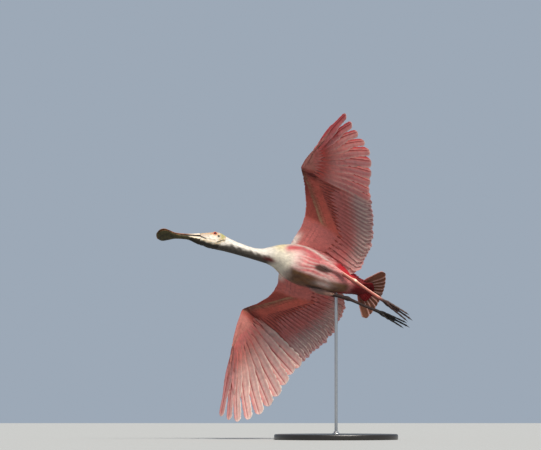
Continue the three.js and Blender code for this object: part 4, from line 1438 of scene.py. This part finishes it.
def bill_tint(p, place, side, sign):
    """Horn with rufous rims and dark stains: brown above, darker below, and pale at the root and the jaw,
    with painted shade on the lower plate's root beside the jaw.
    """
    share = np.abs(side)
    stain = ramp(wobble(p, 6) + 0.5 * wobble(p, 2.1, 3.0), -0.2, 0.9)
    if sign > 0:
        return paint(
            HORN,
            (RUFOUS, 0.7 * ramp(share, 0.6, 0.9)),
            (BLACK, 0.5 * stain),
            (blend(TAN, BONE, 0.55), 0.9 * ramp(0.36 - place, 0, 0.2)),
        )
    near = ramp(0.34 - place + 0.02 * wobble(p, 4), 0, 0.1)
    return paint(
        OLIVE,
        (RUFOUS, 0.35 * ramp(share, 0.94, 1)),
        (BLACK, 0.65 * stain),
        (BLACK, 0.9 * ramp(share, 0.86, 0.92) * ramp(0.5 - place, 0, 0.15)),
        # Painted shade at the lower plate's root, on all but its left edge
        (UNDERSIDE_SHADE, 0.95 * near * ramp(0.84 - side, 0, 0.12)),
        (JAW, near * ramp(side + 0.04 * wobble(p, 3), 0.68, 0.82) * ramp(0.94 - side, 0, 0.04)),
    )


def bill(material):
    """Two flat plates that swell into a spoon, with a groove inside the rim and ridges near the face."""
    for sign, name in ((1, "bill_upper"), (-1, "bill_lower")):
        rings, place, side = bill_plate(sign)
        points, faces = tube(rings)
        build = Build()
        build.add(points, faces, bill_tint(points, place, side, sign))
        build.show(name + "_horn", material, "bill", [name])


def eyes(material):
    rise = np.linspace(-0.49, 0.49, 32) * np.pi
    points, faces = tube(turned_rings(np.stack([np.cos(rise), np.sin(rise)], -1), 64) * EYE_RADIUS)
    angle = np.degrees(np.arccos(np.clip(points[:, 2] / EYE_RADIUS, -1, 1)))
    for side, word in SIDES:
        centre, facing = eye_frame(side)
        build = Build()
        build.add(points @ np.stack([*crossways(facing), facing]) + centre, faces, BLACK, barb=angle)
        build.show(f"eyeball_{word}", material, "eye", [f"eye_{word}"])


def turned_piece(name, outline, sides, material, replaced=()):
    """A piece turned about the model's upright axis."""
    points, faces = tube(turned_rings(outline, sides))
    shown(name, mesh_of(name, points * 0.001, faces), material, replaced)


def stand():
    radius, top, rod, edge = STAND_RADIUS, STAND_HEIGHT, STAND_ROD, STAND_EDGE
    lacquer = plain_material("dark_lacquer", "1d1a18", 0.32, 0.0, 40.0, 0.0003)
    steel = plain_material("brushed_steel", "b9babb", 0.3, 1.0, 220.0, 0.0002)
    angles = np.linspace(0, math.pi / 2, 9)
    rounded = [(radius - edge + edge * math.cos(a), top - edge + edge * math.sin(a)) for a in angles]
    disc = [(radius - 4, 0), (radius - 0.8, 0.8), (radius, 3), *rounded, (rod + 6, top)]
    turned_piece("plinth", disc, 160, lacquer, ["stand_base"])
    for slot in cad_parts["stand_rod"].material_slots:
        slot.material = steel
    collar = [(rod, -0.5), (13, -0.5), (13, 2.2), (12, 3), (9, 3.4), (7, 9), (rod, 9.6)]
    turned_piece("rod_collar", [(r, top + z) for r, z in collar], 64, steel)


# Setting


def setting():
    """Floor, soft daylight and the camera."""
    floor = bpy.data.meshes.new("floor")
    corners = [(x * FLOOR_SIZE, y * FLOOR_SIZE, 0) for x, y in ((-1, -1), (1, -1), (1, 1), (-1, 1))]
    floor.from_pydata(corners, [], [(0, 1, 2, 3)])
    floor.materials.append(plain_material("pale_floor", "8c8d8c", 0.85, 0.0, 300.0, 0.0002))
    ground = linked("floor", floor)

    world = bpy.data.worlds.new("studio")
    world.use_nodes = True
    color, strength = world.node_tree.nodes["Background"].inputs[:2]
    color.default_value, strength.default_value = SKY_COLOR, SKY_STRENGTH
    scene = bpy.context.scene
    scene.world = world
    scene.view_settings.view_transform = "Standard"
    sun = bpy.data.lights.new("sun", "SUN")
    sun.energy, sun.angle, sun.color = SUN_STRENGTH, math.radians(SUN_SPREAD), SUN_COLOR
    linked("sun", sun).rotation_euler = Vector(SUN_FROM).to_track_quat("Z", "Y").to_euler()

    camera = bpy.data.cameras.new("camera")
    camera.sensor_width, camera.lens = SENSOR, SENSOR / FRAME_WIDTH * CAMERA_AWAY
    camera.clip_end = 2 * CAMERA_AWAY
    scene.camera = linked("camera", camera)
    scene.camera.location = (VIEW_CENTRE[0], -CAMERA_AWAY, VIEW_CENTRE[1])
    scene.camera.rotation_euler = (math.pi / 2, 0, 0)


def main():
    soft = feather_material("body_feathers", 0.3)
    vanes = feather_material("vane_feathers", 0.58)
    tree = skin_piece(skin_material())
    torso_coat(soft, tree)
    thigh_coat(soft, tree)
    wing_coat(soft, tree)
    for side, word in SIDES:
        remiges_of_wing(side, word, vanes)
        coverts_of_wing(side, word, vanes)
    tail_feathers(vanes)
    bill(horn_material("bill_horn", 0.5, 260.0))
    eyes(eye_material())
    stand()
    setting()


main()
